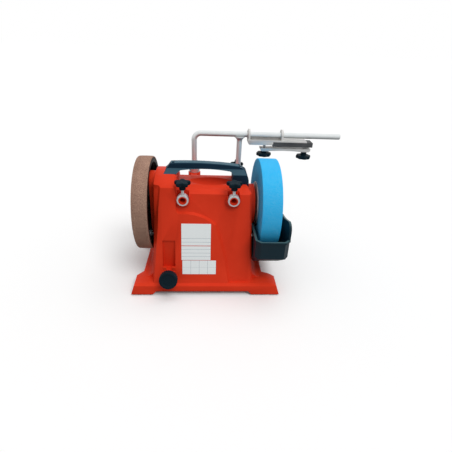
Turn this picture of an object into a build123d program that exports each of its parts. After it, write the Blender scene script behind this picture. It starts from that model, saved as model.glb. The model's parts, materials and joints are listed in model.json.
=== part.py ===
from build123d import *
import os
from math import cos, radians, sin, sqrt, tan

# Wet sharpening machine. X runs along the axle towards the stone, Y to the back, Z up.
# The origin lies on the bench, under the axle, midway between the feet. Millimetres.

# Fits
run_gap = 0.05            # radial play of a part that turns or slides
seat_gap = 0.05           # radial play of parts that are clamped together
drive_gap = 0.3           # friction spindle to drive ring, unloaded
collar_play = 0.05        # collar on its nose and in its seat

# Wheels and shaft
stone_d = 200.0
stone_w = 40.0
stone_x = 107.5           # inner face of the stone
stone_edge = 1.5
leather_edge = 1.0
hone_d = 200.0
hone_w = 30.0
hone_x = -144.0           # outer face of the honing wheel
leather_t = 3.0
drum_wall = 9.0
drum_web = 6.0
drum_hub_r = 15.0
drum_hub_len = 22.0
drive_ring_t = 3.0
drive_ring_inset = 6.0    # drive ring from the open edge of the drum
shaft_d = 12.0
shaft_left_x = -160.0
shaft_right_x = 166.0
inner_flange_r = 50.0
inner_flange_t = 5.0
outer_flange_r = 32.0
outer_flange_t = 4.5
nut_af = 19.0
nut_t = 9.0
bush_r = 10.0
bush_len = 22.0
shaft_free = 1.0          # shaft from the bosses between its bushes
side_play = 1.0           # turning parts from their neighbours, along X

# Base and housing
foot_proud = 3.0          # rubber foot below a lug
lug_drop = 7.0            # lug below the underside of the flange
flange_t = 15.0
stone_over_bench = 63.0   # lowest point of the stone
base_half_x = 157.0
base_half_y = 116.0
lug_depth = 38.0
lug_reach_left = 45.0     # lug along the front, from its outer end
lug_reach_right = 60.0
end_draft = 6.0           # slope of the flange's two ends
front_draft = 4.0
band_under = 3.5          # sloping band round the top of the flange
band_w = 12.0
waist_y = 64.0            # where a lug runs out into the side of the flange
waist_left_x = -137.0
waist_right_x = 124.0
body_left_foot_x = -111.0
body_left_top_x = -105.0
body_right_foot_x = 98.0
body_right_top_x = 90.0
body_foot_y = 106.0       # half depth of the body where it meets the flange
lean = 13.9               # front and back faces from upright, degrees
hump_right_x = -62.0      # right end of the taller block on the left
roof_over_axle = 55.0
crease_over_axle = 42.0
hump_crease_over_axle = 57.5
hump_top_over_axle = 77.5
ridge_half_y = 28.0
shoulder = 9.0            # bevel between roof and right wall
corner_bevel = 10.0
hump_round = 7.0
flare_under = 2.0         # top of the flare below the upright wall of the lowered trough
flare_half_y = 84.0
cover_t = 10.0            # front and back walls, raised panel included
side_wall = 5.0
roof_wall = 5.0
recess_t = 6.0            # step of the raised front panel
recess_bevel = 4.5
recess_top = 2.0          # cutter above the panel
panel_step_over_axle = 17.0
panel_knee_x = 20.0
panel_knee_under_axle = 12.0
panel_foot_x = 51.0
panel_cut = 6.0
panel_bow = 2.4
cheek_front_x = -91.5     # left edge of the front face at the crease
cheek_foot_x = -109.0
cheek_tip_over_axle = -9.0   # where the cheek beside the honing wheel runs out
cheek_edge_x = 4.0        # narrow bevel beside the front face at the crease
cheek_edge_y = 4.8
cheek_ear_y = 6.5         # depth of the facet behind it, at the wall
cheek_tip_y = 14.5
cheek_merge = 0.9         # share of the bevel's width at the tip
scoop_r = 24.0
scoop_half_len = 58.0
scoop_lift = 9.0
scoop_x = 7.0
scoop_y = -8.0

# Bosses round the shaft
left_pad_half_z = 72.0
left_pad_half_y = 26.0
left_boss_x = -119.0
right_boss_r = 45.0
right_boss_x = 101.0
shaft_boss_r = 16.0
shaft_boss_len = 30.0

# Sleeves for the tool support
bar_d = 12.0
sleeve_pitch = 101.5
front_sleeve_mid_x = 2.65
front_sleeve_over_axle = 36.0
front_sleeve_y = -69.5    # face of the front collars
front_bore_len = 50.0
rear_sleeve_mid_x = 20.75
rear_sleeve_y = 78.0
rear_boss_over_axle = 45.0
rear_boss_r = 14.0
rear_boss_len = 128.0
nose_r = 8.5
collar_r = 12.0
collar_len = 12.0
collar_edge = 1.0
front_boss_r = 15.0
front_boss_y = -65.0
channel_y = -45.0         # back end of the notch over a front collar

# Clamp screws
stud_r = 3.0
stud_tip_gap = 0.25       # tip of a tight stud above the bore wall
knob_over_collar = 10.0   # hub of a star knob above its collar
star_hub_r = 6.5
star_hub_len = 9.0
star_core_r = 10.5
star_lobe_r = 4.8
star_r = 16.5
star_t = 8.0
star_lobes = 5
star_bore = 12.0

# Tool support
bar_over_stone = 34.6
bar_end_x = 299.5
bend_r = 15.0
leg_foot_over_axle = -60.0
weld_r = 11.0
weld_bite = 1.0           # weld into the bars
bar_edge = 1.0

# Jig on the support bar
jig_left_x = 90.0
jig_right_x = 168.0
jig_ear_t = 4.0
jig_ear_r = 12.5
jig_bush_r = 8.0
jig_bush_flange_r = 9.5
jig_bush_flange_t = 1.5
jig_plate_end_x = 222.0
jaw_start_x = 146.0
jaw_end_x = 236.0
jig_half_y = 14.0
jig_back_t = 3.0          # upright wall behind the bar
jig_back_hole_r = 2.5
jig_back_hole_x = 108.0
jig_plate_t = 10.0
jig_top_t = 3.0           # plate over the clamping jaw
jaw_groove = 0.8
jaw_grooves = 22
jig_plate_drop = 9.5      # bar axis to the top of the plate
jaw_drop = 3.0            # clamping jaw below the plate's underside
jaw_gap = 5.0
clamp_left_x = 119.0
clamp_right_x = 234.0
clamp_t = 7.0
clamp_half_y = 10.0
clamp_waist = 2.0
jig_stud_left_x = 129.0
jig_stud_right_x = 222.0
jig_knob_r = 17.0
jig_knob_t = 8.0
jig_hub_r = 6.5
jig_hub_left_len = 9.0
jig_hub_right_len = 13.0

# Handle
handle_left_x = -91.0
handle_leg_left_x = -63.5
handle_right_x = 86.0
handle_leg_right_x = 53.0
handle_mid_x = -4.0
handle_over_axle = 94.0   # top of the bar at its middle
handle_bar_t = 12.0
handle_sag_left = 1.0     # ends of the bar's top below its middle
handle_sag_right = 5.0
handle_sag_under = 2.5
handle_slant = 16.0       # run of the slanted left end
handle_foot_h = 6.0
handle_arch_r = 8.0
handle_crown_x = 22.0     # rounded right shoulder
handle_crown_z = 33.0
handle_turn_x = 5.0
handle_turn_z = 18.0
handle_foot_y = 24.0
handle_bar_y = 10.0
handle_round = 3.0
handle_screw_r = 3.2
handle_screw_sink = 11.5
handle_screw_y = 5.0
handle_screw_xs = [-70.0, 68.0]
handle_screw_bite = 8.0
handle_screw_head_t = 3.0

# Water trough
trough_left_x = 97.5
trough_right_x = 165.0
trough_clear = 21.0       # front and back walls beyond the stone
trough_under = 10.0       # floor below the stone
trough_wall = 3.0
trough_rim_under_axle = 27.0
trough_sill = 39.0        # height of the upright front wall
trough_floor_y = 62.0
trough_corner = 10.0
trough_round = 6.0
horn_over_axle = 4.0
horn_y = 88.0
horn_clear = 6.0          # middle of the outer wall below the shaft
horn_edge = 8.0           # top of the outer wall's upright edges below the axle
horn_turn_y = 106.0
horn_turn_under = 3.5
lip_w = 4.0
lip_t = 1.5
boss_clear = 5.0
peg_r = 4.0
peg_y = 58.0
peg_under_axle = 46.0
peg_play = 0.2
trough_drop = 12.0

# Torque control
torque_x = -77.0
torque_face_y = -128.0    # front face of the knob, on its axis
torque_face_z = 47.0
torque_knob_r = 18.8
torque_knob_t = 14.0
torque_knob_sides = 24
torque_hub_r = 9.0
torque_hub_len = 9.0
torque_rod_r = 4.0
torque_gap = 1.2          # rod tip to the motor cradle
groove_half_x = 13.0
groove_y = -80.5
groove_floor_z = 51.0
groove_top_z = 116.0
groove_boss_len = 16.0
groove_wall = 4.0
tab_w = 7.0               # tabs at the foot of the groove
tab_h = 9.0
tab_y = -98.5

# Motor
spindle_r = 7.0
spindle_len = 16.0
motor_shaft_r = 4.0
stator_r = 40.0
stator_left_x = -80.0
stator_right_x = 20.0
bell_t = 12.0
bell_neck_r = 14.0
rotor_r = 24.0
air_gap = 0.5
fan_r = 32.0
fan_t = 8.0
fan_blades = 8
spindle_slot_r = 10.0
cradle_left_x = -64.0
cradle_right_x = 4.0
cradle_t = 4.5
cradle_drop = 0.8         # cradle plate below the stator
cradle_front_y = -38.0
pivot_y = 66.0
pivot_under_motor = 35.3
pivot_r = 4.0
pivot_barrel_r = 7.5
pivot_ear_t = 8.0
ear_play = 0.5
saddle_half_y = 24.0
saddle_len = 10.0
tab_depth = 22.0

# Underside
plate_t = 1.5
plate_margin = 4.0           # base plate beyond the opening that it closes
vent_w = 4.0
vent_len = 46.0
vent_pitch = 10.0
vent_rows = 7
screw_r = 2.0
screw_head_r = 3.8
screw_head_t = 2.0
post_r = 6.0
post_len = 16.0
foot_r = 13.0
foot_peg_r = 5.0
foot_peg_len = 6.0
foot_inset_x = 24.0
foot_inset_y = 20.0
capacitor_r = 17.0
capacitor_len = 60.0
capacitor_x = 66.0
clip_t = 2.0

# Back of the housing
switch_x = 40.0
switch_up = 52.0          # up the back face from the flange
switch_w = 30.0
switch_h = 22.0
switch_lip = 2.5
switch_depth = 18.0
rocker_w = 20.0
rocker_h = 11.0
rocker_t = 9.0
rocker_rise = 2.5
rocker_side_play = 0.5
rocker_swing_play = 1.25
rocker_pin_r = 1.5
rocker_pin_len = 23.6
gland_x = -20.0
gland_up = 30.0
gland_af = 22.0
gland_hex_t = 6.0
gland_dome_r = 9.0
gland_dome_t = 12.0
gland_bore_r = 4.0
gland_thread_r = 8.0

# Worked out places
stone_r = stone_d / 2
hone_r = hone_d / 2
shaft_r = shaft_d / 2
bar_r = bar_d / 2
bore_r = bar_r + run_gap
axle_z = stone_r + stone_over_bench
lug_z = foot_proud
base_z = lug_z + lug_drop
flange_z = base_z + flange_t
flare_r = stone_over_bench - trough_under - trough_drop + trough_round - flare_under - flange_z
lean_tan = tan(radians(lean))
lean_cos = cos(radians(lean))
lean_sin = sin(radians(lean))
roof_z = axle_z + roof_over_axle
crease_z = axle_z + crease_over_axle
hump_crease_z = axle_z + hump_crease_over_axle
hump_top_z = axle_z + hump_top_over_axle
bar_z = axle_z + stone_r + bar_over_stone
front_sleeve_z = axle_z + front_sleeve_over_axle
front_sleeve_xs = [front_sleeve_mid_x - sleeve_pitch / 2, front_sleeve_mid_x + sleeve_pitch / 2]
rear_sleeve_xs = [rear_sleeve_mid_x - sleeve_pitch / 2, rear_sleeve_mid_x + sleeve_pitch / 2]
rear_boss_z = axle_z + rear_boss_over_axle
drum_r = hone_r - leather_t
drum_inner_r = drum_r - drum_wall
ring_inner_r = drum_inner_r - drive_ring_t
hone_open_x = hone_x + hone_w
motor_z = axle_z - (ring_inner_r - spindle_r - drive_gap)
pivot_z = motor_z - pivot_under_motor
axle_line = Axis((0, 0, axle_z), (1, 0, 0))
motor_line = Axis((0, 0, motor_z), (1, 0, 0))


def face_y(z):
    """Return the half depth of the body at a height."""
    return body_foot_y - (z - flange_z) * lean_tan


def along_x(x, y, z):
    """Return a plane that faces +X, with its own axes along Y and Z."""
    return Plane(origin=(x, y, z), x_dir=(0, 1, 0), z_dir=(1, 0, 0))


front_plane = Plane(origin=(0, -body_foot_y, flange_z), x_dir=(1, 0, 0), z_dir=(0, -lean_cos, lean_sin))
back_plane = Plane(origin=(0, body_foot_y, flange_z), x_dir=(-1, 0, 0), z_dir=(0, lean_cos, lean_sin))
os.makedirs("parts", exist_ok=True)


def save(piece, label):
    """Label a finished piece and write it to its own file."""
    piece.label = label
    export_step(piece, f"parts/{label}.step")


def rod(plane, outer_r, length, inner_r=0.0):
    """Return a round bar, or a tube, that stands on a plane."""
    with BuildPart() as piece:
        with BuildSketch(plane):
            Circle(outer_r)
            if inner_r > 0:
                Circle(inner_r, mode=Mode.SUBTRACT)
        extrude(amount=length)
    return piece.part


def turned(profile, line=axle_line, line_z=axle_z):
    """Return a body of revolution about a line along X, from (x, radius) points."""
    with BuildPart() as piece:
        with BuildSketch(Plane.XZ):
            with BuildLine():
                Polyline(*[(x, line_z + r) for x, r in profile], close=True)
            make_face()
        revolve(axis=line)
    return piece.part


def body_block(inset_y, inset_x, inset_z, floor_z):
    """Return the tapered body, or its hollow when the insets are walls."""
    def half(z):
        return face_y(z) - inset_y

    crease = crease_z - inset_z
    hump_crease = hump_crease_z - inset_z
    with BuildPart() as block:
        with BuildSketch(Plane.YZ.offset(hump_right_x - inset_x)):
            with BuildLine():
                Polyline(
                    (-half(floor_z), floor_z), (-half(crease), crease),
                    (-ridge_half_y, roof_z - inset_z),
                    (ridge_half_y, roof_z - inset_z), (half(crease), crease), (half(floor_z), floor_z),
                    close=True,
                )
            make_face()
        extrude(amount=body_right_foot_x - hump_right_x + inset_x)
        with BuildSketch(Plane.YZ.offset(hump_right_x - inset_x)):
            with BuildLine():
                Polyline(
                    (half(hump_crease), hump_crease), (half(floor_z), floor_z),
                    (-half(floor_z), floor_z), (-half(hump_crease), hump_crease),
                )
                ThreePointArc(
                    (-half(hump_crease), hump_crease), (0, hump_top_z - inset_z),
                    (half(hump_crease), hump_crease),
                )
            make_face()
        extrude(amount=body_left_foot_x - hump_right_x)
        with BuildSketch(Plane.XZ):
            with BuildLine():
                Polyline(
                    (body_left_foot_x + inset_x, floor_z), (body_right_foot_x - inset_x, floor_z),
                    (body_right_top_x - inset_x, roof_z - shoulder - inset_z),
                    (body_right_top_x - shoulder - inset_x, roof_z - inset_z),
                    (body_right_top_x - shoulder - inset_x, hump_top_z),
                    (body_left_top_x + inset_x, hump_top_z),
                    close=True,
                )
            make_face()
        extrude(amount=base_half_y, both=True, mode=Mode.INTERSECT)
    return block.part


def face_up(z):
    """Return how far up the leaning front face a height lies."""
    return (z - flange_z) / lean_cos


panel_step_z = axle_z + panel_step_over_axle
panel_knee_z = axle_z - panel_knee_under_axle
panel_left_x = hump_right_x
foot_spots = [
    (side * (base_half_x - foot_inset_x), end * (base_half_y - foot_inset_y))
    for side in (-1, 1)
    for end in (-1, 1)
]
opening_left_x = body_left_foot_x + side_wall
opening_right_x = body_right_foot_x - side_wall
opening_half_y = body_foot_y + flange_t * lean_tan - cover_t
opening_mid_x = (opening_left_x + opening_right_x) / 2
plate_len = opening_right_x - opening_left_x + 2 * plate_margin
plate_depth = 2 * (opening_half_y + plate_margin)
post_spots = [
    (x, end * (opening_half_y - post_r))
    for x in (opening_left_x + post_r, opening_right_x - post_r)
    for end in (-1, 1)
]
torque_axis = Vector(0, -lean_cos, lean_sin)
torque_reach = cradle_front_y - torque_gap - torque_rod_r * lean_sin - torque_face_y
torque_rod_len = torque_reach / lean_cos - torque_knob_t / 2 - stud_tip_gap
torque_face = Vector(torque_x, torque_face_y, torque_face_z)
rod_start = torque_face - torque_axis * (torque_knob_t + torque_hub_len)
rod_plane = Plane(origin=rod_start, x_dir=(1, 0, 0), z_dir=-torque_axis)
peg_z = axle_z - peg_under_axle
hone_wall_x = body_left_foot_x + side_wall


def recess_outline(height):
    """Draw the lowered part of the front at a height over the panel, wider towards the top."""
    spread = recess_bevel * (1 + height / recess_t)
    slant = spread * sqrt(0.5)
    step_low = panel_step_z - panel_cut - spread
    with BuildSketch(front_plane.offset(height)) as outline:
        with BuildLine():
            Polyline(
                (panel_foot_x - spread, face_up(flange_z)), (base_half_x, face_up(flange_z)),
                (base_half_x, face_up(hump_top_z)), (panel_left_x, face_up(hump_top_z)),
                (panel_left_x, face_up(panel_step_z - spread)), (panel_left_x + panel_cut, face_up(step_low)),
            )
            ThreePointArc(
                (panel_left_x + panel_cut, face_up(step_low)),
                (panel_left_x / 3, face_up(step_low - panel_bow)),
                (panel_knee_x - slant, face_up(panel_knee_z - slant)),
            )
            ThreePointArc(
                (panel_knee_x - slant, face_up(panel_knee_z - slant)),
                (panel_foot_x - panel_cut * 2 - spread, face_up((panel_knee_z + flange_z) / 2)),
                (panel_foot_x - spread, face_up(flange_z)),
            )
        make_face()
    return outline.sketch


def wall_left_x(z):
    """Return where the left wall stands at a height."""
    rise = (z - flange_z) / (hump_top_z - flange_z)
    return body_left_foot_x + (body_left_top_x - body_left_foot_x) * rise


def cheek_outline(z, ear_y, edge_x, edge_y):
    """Draw what the cheek takes off the front left corner at a height, from above."""
    fall = (hump_crease_z - z) / (hump_crease_z - flange_z)
    edge = cheek_front_x + (cheek_foot_x - cheek_front_x) * min(max(fall, 0.0), 1.0)
    front = -face_y(min(z, hump_crease_z))
    with BuildSketch(Plane.XY.offset(z)) as outline:
        with BuildLine():
            Polyline(
                (edge, front), (edge, -base_half_y), (-base_half_x, -base_half_y),
                (-base_half_x, front + ear_y), (wall_left_x(z), front + ear_y),
                (edge - edge_x, front + edge_y),
                close=True,
            )
        make_face()
    return outline.sketch


# Pocket behind the groove of the torque knob, trimmed by the leaning front face
with BuildPart() as groove_pocket:
    with BuildSketch(Plane.XY.offset(groove_floor_z - groove_wall)):
        with Locations((torque_x, groove_y + groove_wall - base_half_y / 2)):
            Rectangle(2 * (groove_half_x + groove_wall), base_half_y)
    extrude(amount=groove_top_z - groove_floor_z + 2 * groove_wall)
    add(body_block(0.0, 0.0, 0.0, flange_z), mode=Mode.INTERSECT)

# Housing: tapered body on a flange with four lugs, hollow from below
with BuildPart() as housing:
    add(body_block(0.0, 0.0, 0.0, flange_z))
    right_corners = housing.edges().filter_by(
        lambda e: e.center().X > body_right_top_x and abs(e.center().Y) > body_foot_y / 2
        and e.length > body_foot_y
    )
    chamfer(right_corners, length=corner_bevel)
    hump_edge = housing.edges().filter_by(GeomType.CIRCLE).sort_by(Axis.X)[0]
    fillet(hump_edge, radius=hump_round)
    # Cheek beside the honing wheel
    cheek_tip_z = axle_z + cheek_tip_over_axle
    tip_fall = (hump_crease_z - cheek_tip_z) / (hump_crease_z - flange_z)
    tip_edge = cheek_front_x + (cheek_foot_x - cheek_front_x) * tip_fall
    tip_w = (tip_edge - wall_left_x(cheek_tip_z)) * cheek_merge
    foot_w = (cheek_foot_x - body_left_foot_x) * cheek_merge
    cheek_cuts = [
        cheek_outline(flange_z, foot_w, foot_w, foot_w * cheek_merge),
        cheek_outline(cheek_tip_z, cheek_tip_y, tip_w, cheek_tip_y * cheek_merge),
        cheek_outline(hump_crease_z, cheek_ear_y, cheek_edge_x, cheek_edge_y),
        cheek_outline(hump_top_z, cheek_ear_y, cheek_edge_x, cheek_edge_y),
    ]
    for low, high in zip(cheek_cuts, cheek_cuts[1:]):
        loft(sections=[low.faces()[0], high.faces()[0]], ruled=True, mode=Mode.SUBTRACT)
    # Lower front around the sleeves, which leaves the raised panel proud
    loft(
        sections=[recess_outline(recess_top).faces()[0], recess_outline(-recess_t).faces()[0]],
        ruled=True,
        mode=Mode.SUBTRACT,
    )
    # Flange and lugs
    with BuildSketch(Plane.XY.offset(base_z)):
        with BuildLine():
            Polyline(
                (-base_half_x, -base_half_y), (base_half_x, -base_half_y),
                (base_half_x, -base_half_y + lug_depth), (waist_right_x, -waist_y),
                (waist_right_x, waist_y), (base_half_x, base_half_y - lug_depth),
                (base_half_x, base_half_y), (-base_half_x, base_half_y),
                (-base_half_x, base_half_y - lug_depth), (waist_left_x, waist_y),
                (waist_left_x, -waist_y), (-base_half_x, -base_half_y + lug_depth),
                close=True,
            )
        make_face()
    extrude(amount=flange_t)
    for side, reach in ((-1, lug_reach_left), (1, lug_reach_right)):
        inner_x = base_half_x - reach
        for edge_y in (-base_half_y, base_half_y - lug_depth):
            with BuildSketch(Plane.XZ.offset(-edge_y)):
                with BuildLine():
                    Polyline(
                        (side * base_half_x, base_z), (side * base_half_x, lug_z), (side * inner_x, lug_z),
                        (side * (inner_x - lug_drop), base_z),
                        close=True,
                    )
                make_face()
            extrude(amount=-lug_depth)
    # Room for the base plate between the lugs
    with BuildSketch(Plane.XY.offset(lug_z)):
        with Locations((opening_mid_x, 0)):
            Rectangle(plate_len + 2 * seat_gap, plate_depth + 2 * seat_gap)
    extrude(amount=lug_drop, mode=Mode.SUBTRACT)
    # Sloping outer faces of flange and lugs, and the band round the top
    for side in (-1, 1):
        with BuildSketch(Plane.XZ):
            with BuildLine():
                Polyline(
                    (side * base_half_x, lug_z), (side * (base_half_x - end_draft), flange_z - band_under),
                    (side * (base_half_x - end_draft - band_w), flange_z), (side * base_half_x, flange_z),
                    close=True,
                )
            make_face()
        extrude(amount=base_half_y, both=True, mode=Mode.SUBTRACT)
        with BuildSketch(Plane.YZ):
            with BuildLine():
                Polyline(
                    (side * base_half_y, lug_z), (side * (base_half_y - front_draft), flange_z - band_under),
                    (side * body_foot_y, flange_z), (side * base_half_y, flange_z),
                    close=True,
                )
            make_face()
        extrude(amount=base_half_x, both=True, mode=Mode.SUBTRACT)
    # Concave flare between the side walls and the flange
    for foot_x, side in ((body_left_foot_x, -1), (body_right_foot_x, 1)):
        with BuildSketch(Plane.XZ):
            with BuildLine():
                Polyline(
                    (foot_x, flange_z + flare_r), (foot_x - side * side_wall / 2, flange_z + flare_r),
                    (foot_x - side * side_wall / 2, flange_z), (foot_x + side * flare_r, flange_z),
                )
                ThreePointArc(
                    (foot_x + side * flare_r, flange_z),
                    (foot_x + side * flare_r * (1 - sqrt(0.5)), flange_z + flare_r * (1 - sqrt(0.5))),
                    (foot_x, flange_z + flare_r),
                )
            make_face()
        extrude(amount=flare_half_y, both=True)
    # Pad behind the honing wheel and boss behind the stone
    with BuildSketch(along_x(left_boss_x, 0, axle_z)):
        SlotOverall(2 * left_pad_half_z, 2 * left_pad_half_y, rotation=90)
    extrude(amount=hone_wall_x - left_boss_x)
    add(rod(along_x(body_right_top_x - side_wall / 2, 0, axle_z), right_boss_r,
            right_boss_x - body_right_top_x + side_wall / 2))
    # Finger scoop in the roof under the handle
    with BuildSketch(Plane.XZ.offset(-scoop_y)):
        with BuildLine():
            ThreePointArc(
                (scoop_x - scoop_half_len, roof_z + scoop_lift),
                (scoop_x, roof_z + scoop_lift - scoop_r),
                (scoop_x + scoop_half_len, roof_z + scoop_lift),
            )
            Line(
                (scoop_x + scoop_half_len, roof_z + scoop_lift),
                (scoop_x - scoop_half_len, roof_z + scoop_lift),
            )
        make_face()
    revolve(axis=Axis((0, scoop_y, roof_z + scoop_lift), (1, 0, 0)), mode=Mode.SUBTRACT)
    # Hollow
    add(body_block(cover_t, side_wall, roof_wall + scoop_r - scoop_lift, base_z), mode=Mode.SUBTRACT)
    # Inner bosses for the shaft bushes
    add(rod(along_x(left_boss_x, 0, axle_z), shaft_boss_r, shaft_boss_len))
    add(rod(along_x(right_boss_x - shaft_boss_len, 0, axle_z), shaft_boss_r, shaft_boss_len))
    # Screw posts for the base plate
    for x, y in post_spots:
        with BuildSketch(Plane.XY.offset(base_z)):
            with Locations((x, y)):
                Circle(post_r)
        extrude(amount=post_len)
    # Pocket and groove above the torque knob
    add(groove_pocket.part)
    add(rod(rod_plane.offset(torque_hub_len + groove_wall), torque_hub_r, groove_boss_len))
    with BuildSketch(Plane.XY.offset(groove_floor_z)):
        with Locations((torque_x, groove_y - base_half_y / 2)):
            Rectangle(2 * groove_half_x, base_half_y)
    extrude(amount=groove_top_z - groove_floor_z, mode=Mode.SUBTRACT)
    for side in (-1, 1):
        with BuildSketch(Plane.XY.offset(groove_floor_z)):
            with Locations((torque_x + side * (groove_half_x - tab_w / 2), tab_y + groove_wall / 2)):
                Rectangle(tab_w, groove_wall)
        extrude(amount=tab_h)
    # Front sleeves
    for x in front_sleeve_xs:
        mouth = Plane(origin=(x, front_sleeve_y, front_sleeve_z), x_dir=(1, 0, 0), z_dir=(0, 1, 0))
        add(rod(mouth.offset(front_boss_y - front_sleeve_y), front_boss_r, front_bore_len))
        add(rod(mouth.offset(front_boss_y - front_sleeve_y - collar_len),
                collar_r + collar_play, 2 * collar_len + front_sleeve_y - front_boss_y), mode=Mode.SUBTRACT)
        with BuildSketch(Plane.XY.offset(front_sleeve_z)):
            with Locations((x, channel_y - base_half_y / 2)):
                Rectangle(2 * (collar_r + collar_play), base_half_y)
        extrude(amount=hump_crease_z, mode=Mode.SUBTRACT)
        add(rod(mouth, nose_r, collar_len * 2))
        add(rod(mouth, bore_r, front_bore_len), mode=Mode.SUBTRACT)
        stud_hole = Plane(origin=(x, front_sleeve_y + collar_len / 2, front_sleeve_z), z_dir=(0, 0, 1))
        add(rod(stud_hole, stud_r + run_gap, collar_r), mode=Mode.SUBTRACT)
    # Rear sleeves stand behind the body and run down into its back wall
    for x in rear_sleeve_xs:
        top = Plane(origin=(x, rear_sleeve_y, rear_boss_z), x_dir=(1, 0, 0), z_dir=(0, 0, 1))
        with BuildSketch(top):
            with Locations((0, -rear_boss_r)):
                Rectangle(rear_boss_r, 2 * rear_boss_r)
        extrude(amount=-rear_boss_len / 2)
        add(rod(top.offset(-rear_boss_len), rear_boss_r, rear_boss_len))
        add(rod(top, nose_r, collar_len))
        add(rod(top.offset(collar_len - rear_boss_len), bore_r, rear_boss_len), mode=Mode.SUBTRACT)
        stud_hole = Plane(origin=(x, rear_sleeve_y, rear_boss_z + collar_len / 2), z_dir=(0, 1, 0))
        add(rod(stud_hole, stud_r + run_gap, collar_r), mode=Mode.SUBTRACT)
    # Bores for the shaft bushes, the motor spindle, the torque rod, the feet and the screws
    add(rod(along_x(left_boss_x, 0, axle_z), bush_r + seat_gap, bush_len), mode=Mode.SUBTRACT)
    add(rod(along_x(left_boss_x, 0, axle_z), shaft_r + shaft_free, shaft_boss_len), mode=Mode.SUBTRACT)
    add(rod(along_x(right_boss_x - bush_len, 0, axle_z), bush_r + seat_gap, bush_len), mode=Mode.SUBTRACT)
    add(rod(along_x(right_boss_x - shaft_boss_len, 0, axle_z), shaft_r + shaft_free, shaft_boss_len),
        mode=Mode.SUBTRACT)
    add(rod(along_x(left_boss_x, 0, motor_z), spindle_slot_r, bush_len), mode=Mode.SUBTRACT)
    add(rod(rod_plane, torque_rod_r + run_gap, torque_rod_len), mode=Mode.SUBTRACT)
    for x, y in post_spots:
        with BuildSketch(Plane.XY.offset(base_z)):
            with Locations((x, y)):
                Circle(screw_r + seat_gap)
        extrude(amount=post_len - cradle_t, mode=Mode.SUBTRACT)
    for x, y in foot_spots:
        with BuildSketch(Plane.XY.offset(lug_z)):
            with Locations((x, y)):
                Circle(foot_peg_r + seat_gap)
        extrude(amount=foot_peg_len, mode=Mode.SUBTRACT)
    # Blind holes for the handle screws
    for x in handle_screw_xs:
        for end in (-1, 1):
            seat_z = roof_z if x > hump_right_x else hump_top_z
            with BuildSketch(Plane.XY.offset(seat_z - handle_screw_bite)):
                with Locations((x, end * handle_screw_y)):
                    Circle(screw_r + seat_gap)
            extrude(amount=handle_over_axle, mode=Mode.SUBTRACT)
    # Holes in the right wall for the trough pegs and in the back for switch and gland
    for end in (-1, 1):
        add(rod(along_x(body_right_top_x - side_wall, end * peg_y, peg_z), peg_r + seat_gap, cover_t * 2),
            mode=Mode.SUBTRACT)
    with BuildSketch(back_plane.offset(-switch_depth)):
        with Locations((-switch_x, switch_up)):
            Rectangle(switch_w - 2 * switch_lip, switch_h - 2 * switch_lip)
    extrude(amount=switch_depth, mode=Mode.SUBTRACT)
    with BuildSketch(back_plane.offset(-switch_depth)):
        with Locations((-gland_x, gland_up)):
            Circle(gland_thread_r + seat_gap)
    extrude(amount=switch_depth, mode=Mode.SUBTRACT)
save(housing.part, "housing")

# Underside: base plate with vents, its screws and the rubber feet
with BuildPart() as base_plate:
    with BuildSketch(Plane.XY.offset(base_z - plate_t)):
        with Locations((opening_mid_x, 0)):
            Rectangle(plate_len, plate_depth)
            with GridLocations(vent_pitch, 0, vent_rows, 1):
                SlotOverall(vent_len, vent_w, rotation=90, mode=Mode.SUBTRACT)
        with Locations(*post_spots):
            Circle(screw_r + seat_gap, mode=Mode.SUBTRACT)
    extrude(amount=plate_t)
save(base_plate.part, "base_plate")

with BuildPart() as base_screws:
    with BuildSketch(Plane.XY.offset(base_z - plate_t - screw_head_t)):
        with Locations(*post_spots):
            Circle(screw_head_r)
    extrude(amount=screw_head_t)
    with BuildSketch(Plane.XY.offset(base_z - plate_t)):
        with Locations(*post_spots):
            Circle(screw_r)
    extrude(amount=plate_t + post_len / 2)
save(base_screws.part, "base_screws")

with BuildPart() as rubber_feet:
    with BuildSketch(Plane.XY):
        with Locations(*foot_spots):
            Circle(foot_r)
    extrude(amount=foot_proud)
    with BuildSketch(Plane.XY.offset(foot_proud)):
        with Locations(*foot_spots):
            Circle(foot_peg_r)
    extrude(amount=foot_peg_len - seat_gap)
    chamfer(rubber_feet.faces().sort_by(Axis.Z)[:4].edges(), length=foot_proud / 3)
save(rubber_feet.part, "rubber_feet")

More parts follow.
